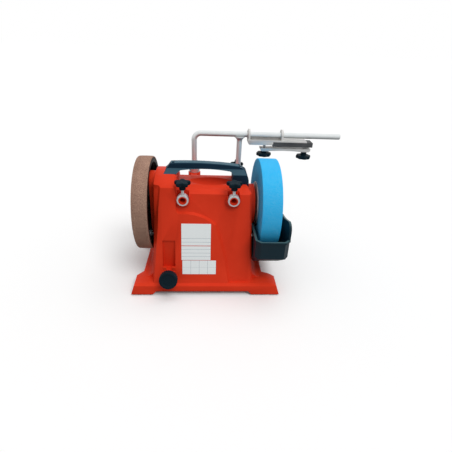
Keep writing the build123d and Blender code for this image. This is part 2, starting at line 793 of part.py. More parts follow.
# Handle: arch from the drum-topped block to the right shoulder
handle_z = axle_z + handle_over_axle
handle_under_z = handle_z - handle_bar_t
handle_eave_z = handle_under_z - handle_sag_under
handle_turn = handle_arch_r * (1 - sqrt(0.5))
with BuildPart() as handle:
    with BuildSketch(Plane.XZ):
        with BuildLine():
            Polyline(
                (handle_leg_left_x, roof_z), (handle_left_x, roof_z),
                (handle_left_x, hump_top_z - handle_foot_h),
                (handle_left_x + handle_slant, handle_z - handle_sag_left),
            )
            ThreePointArc(
                (handle_left_x + handle_slant, handle_z - handle_sag_left), (handle_mid_x, handle_z),
                (handle_right_x - handle_crown_x, handle_z - handle_sag_right),
            )
            ThreePointArc(
                (handle_right_x - handle_crown_x, handle_z - handle_sag_right),
                (handle_right_x - handle_turn_x, handle_z - handle_turn_z),
                (handle_right_x, handle_z - handle_crown_z),
            )
            Polyline(
                (handle_right_x, handle_z - handle_crown_z), (handle_right_x, crease_z),
                (handle_leg_right_x, crease_z), (handle_leg_right_x, handle_eave_z - handle_arch_r),
            )
            ThreePointArc(
                (handle_leg_right_x, handle_eave_z - handle_arch_r),
                (handle_leg_right_x - handle_turn, handle_eave_z - handle_turn),
                (handle_leg_right_x - handle_arch_r, handle_eave_z),
            )
            ThreePointArc(
                (handle_leg_right_x - handle_arch_r, handle_eave_z), (handle_mid_x, handle_under_z),
                (handle_leg_left_x + handle_arch_r, handle_eave_z),
            )
            Polyline(
                (handle_leg_left_x + handle_arch_r, handle_eave_z),
                (handle_leg_left_x, hump_top_z - handle_round),
                (handle_leg_left_x, roof_z),
            )
        make_face()
    extrude(amount=handle_foot_y, both=True)
    with BuildSketch(Plane.YZ.offset(handle_left_x)):
        with BuildLine():
            Polyline(
                (-handle_foot_y, crease_z), (handle_foot_y, crease_z),
                (handle_foot_y, hump_top_z - handle_round),
                (handle_bar_y, handle_eave_z + handle_round), (handle_bar_y, handle_z + handle_round),
                (-handle_bar_y, handle_z + handle_round), (-handle_bar_y, handle_eave_z + handle_round),
                (-handle_foot_y, hump_top_z - handle_round),
                close=True,
            )
        make_face()
    extrude(amount=handle_right_x - handle_left_x, mode=Mode.INTERSECT)
    crest = handle.edges().filter_by(
        lambda e: e.center().Z > handle_eave_z + handle_round and abs(e.center().Y) > handle_bar_y / 2
        and e.length > handle_crown_x
    )
    fillet(crest, radius=handle_round)
    add(body_block(0.0, 0.0, 0.0, flange_z), mode=Mode.SUBTRACT)
    for x in handle_screw_xs:
        for end in (-1, 1):
            with BuildSketch(Plane.XY.offset(handle_z - handle_screw_sink)):
                with Locations((x, end * handle_screw_y)):
                    Circle(handle_screw_r + seat_gap)
            extrude(amount=handle_bar_t, mode=Mode.SUBTRACT)
            with BuildSketch(Plane.XY.offset(roof_z - handle_bar_t)):
                with Locations((x, end * handle_screw_y)):
                    Circle(screw_r + seat_gap)
            extrude(amount=handle_over_axle, mode=Mode.SUBTRACT)
save(handle.part, "handle")

with BuildPart() as handle_screws:
    for x in handle_screw_xs:
        seat_z = roof_z if x > hump_right_x else hump_top_z
        for end in (-1, 1):
            with BuildSketch(Plane.XY.offset(handle_z - handle_screw_sink)):
                with Locations((x, end * handle_screw_y)):
                    Circle(handle_screw_r)
                    RegularPolygon(handle_screw_r / 2, 6, mode=Mode.SUBTRACT)
            extrude(amount=handle_screw_head_t)
            with BuildSketch(Plane.XY.offset(seat_z - handle_screw_bite)):
                with Locations((x, end * handle_screw_y)):
                    Circle(screw_r)
            extrude(amount=handle_z - handle_screw_sink - seat_z + handle_screw_bite)
            with BuildSketch(Plane.XY.offset(handle_z - handle_screw_sink)):
                with Locations((x, end * handle_screw_y)):
                    Circle(screw_r)
            extrude(amount=handle_screw_head_t / 2)
save(handle_screws.part, "handle_screws")


# Collars, clamp studs and star knobs of the four sleeves
def collar(plane, stud_plane):
    """Return a bright collar on its nose, cross drilled for the clamp stud."""
    with BuildPart() as ring:
        add(rod(plane, collar_r, collar_len, nose_r + collar_play))
        chamfer(ring.edges().filter_by(GeomType.CIRCLE).filter_by(lambda e: e.radius > collar_r - seat_gap),
                length=collar_edge)
        add(rod(stud_plane, stud_r + run_gap, 2 * collar_r), mode=Mode.SUBTRACT)
    return ring.part


def star_knob(plane):
    """Return a lobed knob whose hub stands on a plane, with a blind bore for its stud."""
    with BuildPart() as knob:
        with BuildSketch(plane):
            Circle(star_hub_r)
        extrude(amount=star_hub_len)
        with BuildSketch(plane.offset(star_hub_len)) as outline:
            Circle(star_core_r)
            with PolarLocations(star_r - star_lobe_r, star_lobes, start_angle=90):
                Circle(star_lobe_r)
            fillet(outline.vertices(), radius=star_lobe_r / 2)
        extrude(amount=star_t)
        top = knob.faces().sort_by(Axis(plane.origin, plane.z_dir))[-1]
        fillet(top.edges(), radius=star_t / 4)
        add(rod(plane, stud_r + run_gap, star_bore), mode=Mode.SUBTRACT)
    return knob.part


knob_lift = collar_r + knob_over_collar
stud_from = bore_r + stud_tip_gap
stud_len = knob_lift + star_bore - stud_from - stud_tip_gap
for row, xs in (("front", front_sleeve_xs), ("rear", rear_sleeve_xs)):
    for hand, x in zip(("left", "right"), xs):
        if row == "front":
            seat = Plane(origin=(x, front_sleeve_y, front_sleeve_z), x_dir=(1, 0, 0), z_dir=(0, 1, 0))
            stud = Plane(origin=(x, front_sleeve_y + collar_len / 2, front_sleeve_z), x_dir=(1, 0, 0),
                         z_dir=(0, 0, 1))
        else:
            seat = Plane(origin=(x, rear_sleeve_y, rear_boss_z), x_dir=(1, 0, 0), z_dir=(0, 0, 1))
            stud = Plane(origin=(x, rear_sleeve_y, rear_boss_z + collar_len / 2), x_dir=(-1, 0, 0),
                         z_dir=(0, 1, 0))
        save(collar(seat, stud), f"{row}_collar_{hand}")
        save(rod(stud.offset(stud_from), stud_r, stud_len), f"{row}_stud_{hand}")
        save(star_knob(stud.offset(knob_lift)), f"{row}_star_knob_{hand}")

# Tool support: bent round bar with a second leg welded under it
leg_foot_z = axle_z + leg_foot_over_axle
leg_left_x, leg_right_x = rear_sleeve_xs
with BuildPart() as tool_support:
    with BuildLine() as support_path:
        FilletPolyline(
            (leg_left_x, rear_sleeve_y, leg_foot_z), (leg_left_x, rear_sleeve_y, bar_z),
            (bar_end_x, rear_sleeve_y, bar_z),
            radius=bend_r,
        )
    with BuildSketch(Plane(origin=(leg_left_x, rear_sleeve_y, leg_foot_z), z_dir=(0, 0, 1))):
        Circle(bar_r)
    sweep(path=support_path.wire())
    with BuildSketch(Plane.XY.offset(leg_foot_z)):
        with Locations((leg_right_x, rear_sleeve_y)):
            Circle(bar_r)
    extrude(amount=bar_z - leg_foot_z)
    weld_in = bar_r - weld_bite
    weld_x = weld_in + weld_r
    weld_mid = weld_x - weld_r * sqrt(0.5)
    with BuildSketch(Plane(origin=(leg_right_x, rear_sleeve_y, bar_z), x_dir=(1, 0, 0), z_dir=(0, -1, 0))):
        with BuildLine():
            Line((-weld_x, -weld_in), (weld_x, -weld_in))
            ThreePointArc((weld_x, -weld_in), (weld_mid, -weld_mid), (weld_in, -weld_x))
            Line((weld_in, -weld_x), (-weld_in, -weld_x))
            ThreePointArc((-weld_in, -weld_x), (-weld_mid, -weld_mid), (-weld_x, -weld_in))
        make_face()
    extrude(amount=bar_r / 2, both=True)
    chamfer(tool_support.faces().sort_by(Axis.X)[-1].edges(), length=bar_edge)
save(tool_support.part, "tool_support")

# Jig: bracket with two ears on the bar, guide bushes, clamp bar, studs and knobs
plate_top_z = bar_z - jig_plate_drop
plate_low_z = plate_top_z - jig_plate_t
jaw_low_z = plate_low_z - jaw_drop
jaw_top_z = plate_top_z - jig_top_t
clamp_top_z = jaw_low_z - jaw_gap
clamp_low_z = clamp_top_z - clamp_t
ear_right_start = jig_right_x - jig_ear_t
jig_studs = [(jig_stud_left_x, rear_sleeve_y), (jig_stud_right_x, rear_sleeve_y)]
with BuildPart() as jig_bracket:
    with BuildSketch(Plane.XZ.offset(-rear_sleeve_y)):
        with BuildLine():
            Polyline(
                (jig_left_x, plate_top_z), (jig_plate_end_x, plate_top_z), (jig_plate_end_x, jaw_top_z),
                (jaw_start_x, jaw_top_z), (jaw_start_x, plate_low_z + jaw_drop),
                (jaw_start_x - jaw_drop, plate_low_z), (jig_left_x + jaw_drop, plate_low_z),
                (jig_left_x, plate_low_z + jaw_drop),
                close=True,
            )
        make_face()
    extrude(amount=jig_half_y, both=True)
    for x in (jig_left_x, ear_right_start):
        with BuildSketch(along_x(x, rear_sleeve_y, bar_z)):
            Circle(jig_ear_r)
            with Locations((0, -jig_plate_drop / 2)):
                Rectangle(2 * jig_ear_r, jig_plate_drop + jaw_drop)
        extrude(amount=jig_ear_t)
    back_y = rear_sleeve_y + jig_half_y - jig_back_t
    with BuildSketch(Plane.XY.offset(plate_top_z)):
        with Locations(((jig_left_x + jig_right_x) / 2, back_y + jig_back_t / 2)):
            Rectangle(jig_right_x - jig_left_x, jig_back_t)
    extrude(amount=jig_plate_drop)
    back_hole = Plane(origin=(jig_back_hole_x, back_y, bar_z - jig_plate_drop / 2), z_dir=(0, 1, 0))
    add(rod(back_hole, jig_back_hole_r, jig_back_t), mode=Mode.SUBTRACT)
    add(rod(along_x(jig_left_x, rear_sleeve_y, bar_z), jig_bush_r + run_gap, jig_right_x - jig_left_x),
        mode=Mode.SUBTRACT)
    with BuildSketch(Plane.XY.offset(plate_low_z)):
        with Locations(jig_studs[0]):
            Circle(stud_r + seat_gap)
    extrude(amount=jig_plate_t - 2 * jaw_drop, mode=Mode.SUBTRACT)
save(jig_bracket.part, "jig_bracket")

with BuildPart() as jig_jaw:
    jaw_len = jaw_end_x - jaw_start_x
    with BuildSketch(Plane.XY.offset(jaw_low_z)):
        with Locations((jaw_start_x + jaw_len / 2, rear_sleeve_y)):
            Rectangle(jaw_len, 2 * jig_half_y)
            for side in (-1, 1):
                with Locations((0, side * jig_half_y)):
                    with GridLocations(jaw_len / (jaw_grooves + 1), 0, jaw_grooves, 1):
                        Rectangle(jaw_groove, jaw_groove, mode=Mode.SUBTRACT)
    extrude(amount=jaw_top_z - jaw_low_z)
    with BuildSketch(Plane.XY.offset(jaw_low_z)):
        with Locations(jig_studs[1]):
            Circle(stud_r + seat_gap)
    extrude(amount=jig_plate_t - jaw_drop, mode=Mode.SUBTRACT)
save(jig_jaw.part, "jig_jaw")

with BuildPart() as jig_bushes:
    add(rod(along_x(jig_left_x, rear_sleeve_y, bar_z), jig_bush_r, jig_ear_t, bore_r))
    add(rod(along_x(jig_left_x - jig_bush_flange_t, rear_sleeve_y, bar_z), jig_bush_flange_r,
            jig_bush_flange_t, bore_r))
    add(rod(along_x(ear_right_start, rear_sleeve_y, bar_z), jig_bush_r, jig_ear_t, bore_r))
    add(rod(along_x(jig_right_x, rear_sleeve_y, bar_z), jig_bush_flange_r, jig_bush_flange_t, bore_r))
save(jig_bushes.part, "jig_bushes")

with BuildPart() as jig_clamp_bar:
    with BuildSketch(Plane.XZ.offset(-rear_sleeve_y)):
        with BuildLine():
            Polyline(
                (clamp_left_x, clamp_top_z), (clamp_right_x, clamp_top_z),
                (clamp_right_x, clamp_low_z + clamp_t / 2), (clamp_right_x - clamp_t / 2, clamp_low_z),
                (jig_stud_right_x - jig_hub_r, clamp_low_z),
            )
            ThreePointArc(
                (jig_stud_right_x - jig_hub_r, clamp_low_z),
                ((jig_stud_left_x + jig_stud_right_x) / 2, clamp_low_z + clamp_waist),
                (jig_stud_left_x + jig_hub_r, clamp_low_z),
            )
            Polyline(
                (jig_stud_left_x + jig_hub_r, clamp_low_z), (clamp_left_x + clamp_t / 2, clamp_low_z),
                (clamp_left_x, clamp_low_z + clamp_t / 2), (clamp_left_x, clamp_top_z),
            )
        make_face()
    extrude(amount=clamp_half_y, both=True)
    with BuildSketch(Plane.XY.offset(clamp_low_z)):
        with Locations(*jig_studs):
            Circle(stud_r + run_gap)
    extrude(amount=clamp_t, mode=Mode.SUBTRACT)
save(jig_clamp_bar.part, "jig_clamp_bar")

with BuildPart() as jig_studs_pair:
    for (x, y), hub_len in zip(jig_studs, (jig_hub_left_len, jig_hub_right_len)):
        with BuildSketch(Plane.XY.offset(clamp_low_z - hub_len)):
            with Locations((x, y)):
                Circle(stud_r)
        extrude(amount=jaw_low_z + jig_plate_t - jaw_drop - clamp_low_z + hub_len - seat_gap)
save(jig_studs_pair.part, "jig_studs")


def jig_knob(x, hub_len):
    """Return a round clamp knob under the clamp bar, with a bore for its stud."""
    hub_top = Plane(origin=(x, rear_sleeve_y, clamp_low_z), x_dir=(1, 0, 0), z_dir=(0, 0, -1))
    with BuildPart() as knob:
        add(rod(hub_top, jig_hub_r, hub_len))
        add(rod(hub_top.offset(hub_len - jig_knob_t / 2), jig_knob_r, jig_knob_t))
        fillet(knob.edges().filter_by(GeomType.CIRCLE).filter_by(lambda e: e.radius > jig_knob_r - seat_gap),
               radius=jig_knob_t / 3)
        add(rod(hub_top, stud_r + run_gap, hub_len + jig_knob_t / 4), mode=Mode.SUBTRACT)
    return knob.part


save(jig_knob(jig_stud_left_x, jig_hub_left_len), "jig_knob_left")
save(jig_knob(jig_stud_right_x, jig_hub_right_len), "jig_knob_right")

# Spindle: shaft, bushes, grindstone and honing wheel
save(rod(along_x(shaft_left_x, 0, axle_z), shaft_r, shaft_right_x - shaft_left_x), "main_shaft")
save(rod(along_x(left_boss_x, 0, axle_z), bush_r, bush_len, shaft_r + run_gap), "shaft_bush_left")
bush_plane = along_x(right_boss_x - bush_len, 0, axle_z)
save(rod(bush_plane, bush_r, bush_len, shaft_r + run_gap), "shaft_bush_right")
stone_end_x = stone_x + stone_w
wheel_bore_r = shaft_r + seat_gap
save(turned([
    (stone_x, wheel_bore_r), (stone_x, stone_r - stone_edge), (stone_x + stone_edge, stone_r),
    (stone_end_x - stone_edge, stone_r), (stone_end_x, stone_r - stone_edge), (stone_end_x, wheel_bore_r),
]), "grindstone")
save(turned([
    (stone_x - inner_flange_t, wheel_bore_r), (stone_x - inner_flange_t, inner_flange_r / 2),
    (stone_x - inner_flange_t / 2, inner_flange_r), (stone_x, inner_flange_r), (stone_x, wheel_bore_r),
]), "stone_flange_inner")
save(turned([
    (stone_end_x, wheel_bore_r), (stone_end_x, outer_flange_r),
    (stone_end_x + outer_flange_t / 2, outer_flange_r), (stone_end_x + outer_flange_t, outer_flange_r / 2),
    (stone_end_x + outer_flange_t, wheel_bore_r),
]), "stone_flange_outer")


def hex_nut(x):
    """Return a hexagon nut on the shaft, from x towards +X."""
    with BuildPart() as nut:
        with BuildSketch(along_x(x, 0, axle_z)):
            RegularPolygon(nut_af / 2, 6, major_radius=False)
            Circle(wheel_bore_r, mode=Mode.SUBTRACT)
        extrude(amount=nut_t)
    return nut.part


save(hex_nut(stone_end_x + outer_flange_t), "stone_nut")
save(turned([
    (hone_x, wheel_bore_r), (hone_x, drum_r), (hone_open_x, drum_r), (hone_open_x, drum_inner_r),
    (hone_x + drum_web, drum_inner_r), (hone_x + drum_web, drum_hub_r), (hone_x + drum_hub_len, drum_hub_r),
    (hone_x + drum_hub_len, wheel_bore_r),
]), "honing_drum")
save(turned([
    (hone_x, drum_r), (hone_x, hone_r - leather_edge), (hone_x + leather_edge, hone_r),
    (hone_open_x - leather_edge, hone_r), (hone_open_x, hone_r - leather_edge), (hone_open_x, drum_r),
]), "leather_tyre")
ring_start_x = hone_x + drum_web + side_play
save(turned([
    (ring_start_x, ring_inner_r), (ring_start_x, drum_inner_r),
    (hone_open_x - drive_ring_inset, drum_inner_r),
    (hone_open_x - drive_ring_inset, ring_inner_r),
]), "drive_ring")
washer_plane = along_x(hone_x - outer_flange_t / 2, 0, axle_z)
save(rod(washer_plane, outer_flange_r / 2, outer_flange_t / 2, wheel_bore_r), "honing_washer")
save(hex_nut(hone_x - outer_flange_t / 2 - nut_t), "honing_nut")

# Water trough: a bath round the stone, with tall outer horns and a notch over the right boss
trough_half_y = stone_r + trough_clear
trough_rim_z = axle_z - trough_rim_under_axle
trough_floor_z = stone_over_bench - trough_under
trough_len_x = trough_right_x - trough_left_x
trough_mid_x = (trough_left_x + trough_right_x) / 2
horn_z = axle_z + horn_over_axle


def trough_profile(plane):
    """Draw the side view of the bath below its rim."""
    with BuildSketch(plane) as profile:
        with BuildLine():
            Polyline(
                (-trough_half_y, trough_rim_z), (-trough_half_y, trough_rim_z - trough_sill),
                (-trough_floor_y, trough_floor_z), (trough_floor_y, trough_floor_z),
                (trough_half_y, trough_rim_z - trough_sill), (trough_half_y, trough_rim_z),
                close=True,
            )
        make_face()
    return profile.sketch


def bevelled(width, depth, corner):
    """Draw a rectangle with bevelled corners."""
    with BuildSketch() as outline:
        Rectangle(width, depth)
        chamfer(outline.vertices(), length=corner)
    return outline.sketch


with BuildPart() as water_trough:
    extrude(trough_profile(Plane.YZ.offset(trough_left_x)), amount=trough_len_x)
    corners = water_trough.edges().filter_by(Axis.Z)
    chamfer(corners, length=trough_corner)
    keel = water_trough.edges().filter_by(
        lambda e: e.center().Z < trough_rim_z - trough_sill
        and abs(e.center().X - trough_mid_x) > trough_len_x / 2 - seat_gap
    )
    chamfer(keel, length=trough_round)
    rim = water_trough.faces().sort_by(Axis.Z)[-1]
    offset(amount=-trough_wall, openings=rim)
    # Rim lip, and the tall outer wall with a horn at each end
    with BuildSketch(Plane.XY.offset(trough_rim_z)):
        with Locations((trough_mid_x, 0)):
            add(bevelled(trough_len_x + 2 * lip_t, 2 * (trough_half_y + lip_t), trough_corner))
            add(bevelled(trough_len_x - 2 * trough_wall, 2 * (trough_half_y - trough_wall),
                         trough_corner - trough_wall), mode=Mode.SUBTRACT)
    extrude(amount=-lip_w)
    with BuildSketch(Plane.YZ.offset(trough_right_x - trough_wall)):
        with BuildLine():
            edge_y = trough_half_y - trough_corner
            Polyline(
                (edge_y, axle_z - horn_edge), (edge_y, trough_rim_z - lip_w), (-edge_y, trough_rim_z - lip_w),
                (-edge_y, axle_z - horn_edge),
            )
            ThreePointArc(
                (-edge_y, axle_z - horn_edge), (-horn_turn_y, horn_z - horn_turn_under), (-horn_y, horn_z)
            )
            ThreePointArc((-horn_y, horn_z), (0, axle_z - shaft_r - horn_clear), (horn_y, horn_z))
            ThreePointArc(
                (horn_y, horn_z), (horn_turn_y, horn_z - horn_turn_under), (edge_y, axle_z - horn_edge)
            )
        make_face()
    extrude(amount=trough_wall + lip_t)
    add(rod(along_x(trough_left_x - trough_wall, 0, axle_z), right_boss_r + boss_clear, 3 * trough_wall),
        mode=Mode.SUBTRACT)
    for end in (-1, 1):
        with BuildSketch(along_x(trough_left_x - trough_wall, end * peg_y, peg_z + trough_drop / 2)):
            SlotOverall(trough_drop + 2 * (peg_r + peg_play), 2 * (peg_r + peg_play), rotation=90)
        extrude(amount=3 * trough_wall, mode=Mode.SUBTRACT)
save(water_trough.part, "water_trough")

with BuildPart() as trough_pegs:
    for end in (-1, 1):
        add(rod(along_x(body_right_top_x - side_wall / 2, end * peg_y, peg_z), peg_r,
                trough_left_x + trough_wall - body_right_top_x + side_wall / 2))
save(trough_pegs.part, "trough_pegs")

# Torque control: knob on a rod that presses the motor cradle
knob_plane = Plane(origin=torque_face, x_dir=(1, 0, 0), z_dir=-torque_axis)
with BuildPart() as torque_knob:
    with BuildSketch(knob_plane):
        RegularPolygon(torque_knob_r, torque_knob_sides)
    extrude(amount=torque_knob_t)
    knob_front = torque_knob.faces().sort_by(Axis(torque_face, torque_axis))[-1]
    chamfer(knob_front.edges(), length=torque_knob_t / 8)
    add(rod(knob_plane.offset(torque_knob_t), torque_hub_r, torque_hub_len))
    add(rod(knob_plane.offset(torque_knob_t / 2), torque_rod_r + run_gap, torque_knob_t + torque_hub_len),
        mode=Mode.SUBTRACT)
save(torque_knob.part, "torque_knob")
rod_inner = knob_plane.offset(torque_knob_t / 2 + stud_tip_gap)
save(rod(rod_inner, torque_rod_r, torque_rod_len), "torque_rod")

# Motor on a hinged cradle inside the body
save(rod(along_x(stator_left_x, 0, motor_z), stator_r, stator_right_x - stator_left_x, rotor_r + air_gap),
     "motor_stator")
bell_bore_r = motor_shaft_r + run_gap
save(turned([
    (stator_left_x, bell_bore_r), (stator_left_x, stator_r), (stator_left_x - bell_t / 2, stator_r),
    (stator_left_x - bell_t, bell_neck_r), (stator_left_x - bell_t, bell_bore_r),
], motor_line, motor_z), "motor_bell_left")
save(turned([
    (stator_right_x, bell_bore_r), (stator_right_x, stator_r), (stator_right_x + bell_t / 2, stator_r),
    (stator_right_x + bell_t, bell_neck_r), (stator_right_x + bell_t, bell_bore_r),
], motor_line, motor_z), "motor_bell_right")
spindle_end_x = left_boss_x - side_play
fan_x = stator_right_x + bell_t + side_play
with BuildPart() as rotor:
    add(rod(along_x(spindle_end_x - spindle_len, 0, motor_z), motor_shaft_r,
            fan_x + fan_t - spindle_end_x + spindle_len))
    add(rod(along_x(stator_left_x + side_play, 0, motor_z), rotor_r,
            stator_right_x - stator_left_x - 2 * side_play))
save(rotor.part, "rotor")
spindle_plane = along_x(spindle_end_x - spindle_len, 0, motor_z)
save(rod(spindle_plane, spindle_r, spindle_len, motor_shaft_r + seat_gap), "friction_spindle")
with BuildPart() as fan:
    add(rod(along_x(fan_x, 0, motor_z), fan_r, fan_t / 4, motor_shaft_r + seat_gap))
    add(rod(along_x(fan_x, 0, motor_z), bell_neck_r, fan_t, motor_shaft_r + seat_gap))
    with BuildSketch(along_x(fan_x, 0, motor_z)):
        with PolarLocations((bell_neck_r + fan_r) / 2 - side_play, fan_blades):
            Rectangle(fan_r - bell_neck_r, fan_t / 4)
    extrude(amount=fan_t)
save(fan.part, "cooling_fan")

cradle_top_z = motor_z - stator_r - cradle_drop
with BuildPart() as motor_cradle:
    with BuildSketch(Plane.XY.offset(cradle_top_z - cradle_t)):
        with Locations(((cradle_left_x + cradle_right_x) / 2, (cradle_front_y + pivot_y) / 2)):
            Rectangle(cradle_right_x - cradle_left_x, pivot_y - cradle_front_y)
    extrude(amount=cradle_t)
    for x in (cradle_left_x, cradle_right_x - saddle_len):
        with BuildSketch(Plane.XY.offset(cradle_top_z)):
            with Locations((x + saddle_len / 2, 0)):
                Rectangle(saddle_len, 2 * saddle_half_y)
        extrude(amount=stator_r / 2)
    add(rod(along_x(stator_left_x, 0, motor_z), stator_r, stator_right_x - stator_left_x), mode=Mode.SUBTRACT)
    add(rod(along_x(cradle_left_x, pivot_y, pivot_z), pivot_barrel_r, cradle_right_x - cradle_left_x))
    add(rod(along_x(cradle_left_x, pivot_y, pivot_z), pivot_r + run_gap, cradle_right_x - cradle_left_x),
        mode=Mode.SUBTRACT)
    with BuildSketch(Plane.XY.offset(cradle_top_z)):
        with Locations((cradle_left_x - torque_hub_r / 2, cradle_front_y + cradle_t / 2)):
            Rectangle(4 * torque_hub_r, cradle_t)
    extrude(amount=-tab_depth)
save(motor_cradle.part, "motor_cradle")

with BuildPart() as pivot_bracket:
    for x in (cradle_left_x - ear_play - pivot_ear_t, cradle_right_x + ear_play):
        with BuildSketch(along_x(x, pivot_y, pivot_z)):
            Circle(pivot_barrel_r)
            with Locations((0, (base_z - pivot_z) / 2)):
                Rectangle(2 * pivot_barrel_r, pivot_z - base_z)
            Circle(pivot_r + seat_gap, mode=Mode.SUBTRACT)
        extrude(amount=pivot_ear_t)
save(pivot_bracket.part, "pivot_bracket")
pin_start_x = cradle_left_x - ear_play - pivot_ear_t
pin_end_x = cradle_right_x + ear_play + pivot_ear_t
save(rod(along_x(pin_start_x, pivot_y, pivot_z), pivot_r, pin_end_x - pin_start_x), "pivot_pin")

# Capacitor on the base plate
capacitor_plane = Plane(origin=(capacitor_x, -capacitor_len / 2, base_z + clip_t + capacitor_r),
                        x_dir=(1, 0, 0), z_dir=(0, 1, 0))
save(rod(capacitor_plane, capacitor_r, capacitor_len), "capacitor")
with BuildPart() as capacitor_clip:
    with BuildSketch(capacitor_plane.offset(capacitor_len / 3)):
        Rectangle(2 * capacitor_r + 2 * clip_t, 2 * capacitor_r + 2 * clip_t)
        with Locations((0, -capacitor_r - clip_t)):
            Rectangle(2 * capacitor_r + 3 * clip_t, capacitor_r, mode=Mode.SUBTRACT)
        Circle(capacitor_r + seat_gap, mode=Mode.SUBTRACT)
    extrude(amount=capacitor_len / 3)
save(capacitor_clip.part, "capacitor_clip")

# Power switch and cable gland on the back
switch_plane = back_plane.shift_origin(back_plane.from_local_coords(Vector(-switch_x, switch_up, 0)))
rocker_plane = Plane(origin=switch_plane.origin, x_dir=switch_plane.y_dir, z_dir=switch_plane.x_dir)
with BuildPart() as switch_body:
    with BuildSketch(switch_plane):
        Rectangle(switch_w, switch_h)
    extrude(amount=switch_lip)
    with BuildSketch(switch_plane):
        Rectangle(switch_w - 2 * switch_lip - seat_gap, switch_h - 2 * switch_lip - seat_gap)
    extrude(amount=-switch_depth)
    with BuildSketch(switch_plane.offset(switch_lip)):
        Rectangle(rocker_w + 2 * rocker_side_play, rocker_h + 2 * rocker_swing_play)
    extrude(amount=-rocker_t - switch_lip, mode=Mode.SUBTRACT)
    add(rod(rocker_plane.offset(-rocker_pin_len / 2 - seat_gap), rocker_pin_r + run_gap,
            rocker_pin_len + 2 * seat_gap), mode=Mode.SUBTRACT)
save(switch_body.part, "switch_body")
gland_plane = back_plane.shift_origin(back_plane.from_local_coords(Vector(-gland_x, gland_up, 0)))
with BuildPart() as cable_gland:
    with BuildSketch(gland_plane):
        RegularPolygon(gland_af / 2, 6, major_radius=False)
    extrude(amount=gland_hex_t)
    add(rod(gland_plane.offset(gland_hex_t), gland_dome_r, gland_dome_t))
    dome_end = cable_gland.faces().sort_by(Axis(gland_plane.origin, gland_plane.z_dir))[-1]
    fillet(dome_end.edges(), radius=gland_bore_r)
    add(rod(gland_plane.offset(-cover_t), gland_thread_r, cover_t))
    add(rod(gland_plane.offset(-cover_t), gland_bore_r, 2 * cover_t + gland_dome_t), mode=Mode.SUBTRACT)
save(cable_gland.part, "cable_gland")
with BuildPart() as power_rocker:
    with BuildSketch(rocker_plane):
        with BuildLine():
            Polyline(
                (-rocker_h / 3, -rocker_t / 2), (rocker_h / 3, -rocker_t / 2), (rocker_h / 2, 0),
                (rocker_h / 2, switch_lip), (0, switch_lip - rocker_rise / 4),
                (-rocker_h / 2, switch_lip + rocker_rise), (-rocker_h / 2, 0),
                close=True,
            )
        make_face()
    extrude(amount=rocker_w / 2, both=True)
    add(rod(rocker_plane.offset(-rocker_pin_len / 2), rocker_pin_r, rocker_pin_len))
save(power_rocker.part, "power_rocker")
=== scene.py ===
"""Looks of a bench wet sharpening machine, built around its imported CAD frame."""

import json
import logging
import math
from dataclasses import dataclass, field
from enum import Enum
from typing import Any, Callable, Mapping, Optional, Sequence, Union

import bmesh
import bpy
import numpy as np
from mathutils import Matrix, Vector

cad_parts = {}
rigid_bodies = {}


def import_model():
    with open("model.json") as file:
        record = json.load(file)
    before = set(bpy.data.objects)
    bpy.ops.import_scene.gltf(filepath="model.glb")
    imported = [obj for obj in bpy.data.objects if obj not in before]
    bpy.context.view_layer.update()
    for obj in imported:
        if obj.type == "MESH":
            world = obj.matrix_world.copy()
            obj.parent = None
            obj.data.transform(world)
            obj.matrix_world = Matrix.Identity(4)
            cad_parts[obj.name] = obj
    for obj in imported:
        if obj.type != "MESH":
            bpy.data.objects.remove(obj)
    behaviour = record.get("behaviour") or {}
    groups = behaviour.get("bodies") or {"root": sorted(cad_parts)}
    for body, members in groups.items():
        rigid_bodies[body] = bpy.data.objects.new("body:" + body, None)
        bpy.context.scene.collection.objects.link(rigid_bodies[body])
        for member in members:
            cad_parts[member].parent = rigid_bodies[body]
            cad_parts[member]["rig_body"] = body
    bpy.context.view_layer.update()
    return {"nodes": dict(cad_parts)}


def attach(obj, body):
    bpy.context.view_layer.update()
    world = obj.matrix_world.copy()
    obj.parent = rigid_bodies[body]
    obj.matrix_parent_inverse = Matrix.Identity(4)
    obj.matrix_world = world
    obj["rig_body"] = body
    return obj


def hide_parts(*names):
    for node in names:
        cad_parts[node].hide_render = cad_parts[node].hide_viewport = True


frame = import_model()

LOG = logging.getLogger("sharpening_machine")
Colour = tuple[float, float, float]
MM = 0.001
FACES_UP = "faces_up"

# Places that several pieces share, in millimetres, and the lean of the front
LEAN = math.radians(13.9)
AXLE_Z = 163.0
BAR_Y = 78.0
LEG_XS = (-30.0, 71.5)
JIG_STUD_XS = (129.0, 222.0)

# How a copy of a CAD piece is joined up and rounded: a distance in metres, an angle and a number of steps
WELD = 0.001 * MM
FLAT = math.radians(0.4)
ROUND_STEPS = 3


def paint(red: int, green: int, blue: int) -> Colour:
    """Turn a screen colour into linear light, by the usual curve for screens with its straight foot.

    Args:
        red: Red from 0 to 255.
        green: Green from 0 to 255.
        blue: Blue from 0 to 255.

    Returns:
        The three linear channels.
    """
    return tuple(((c / 255 + 0.055) / 1.055) ** 2.4 if c > 10 else c / 3294.6 for c in (red, green, blue))


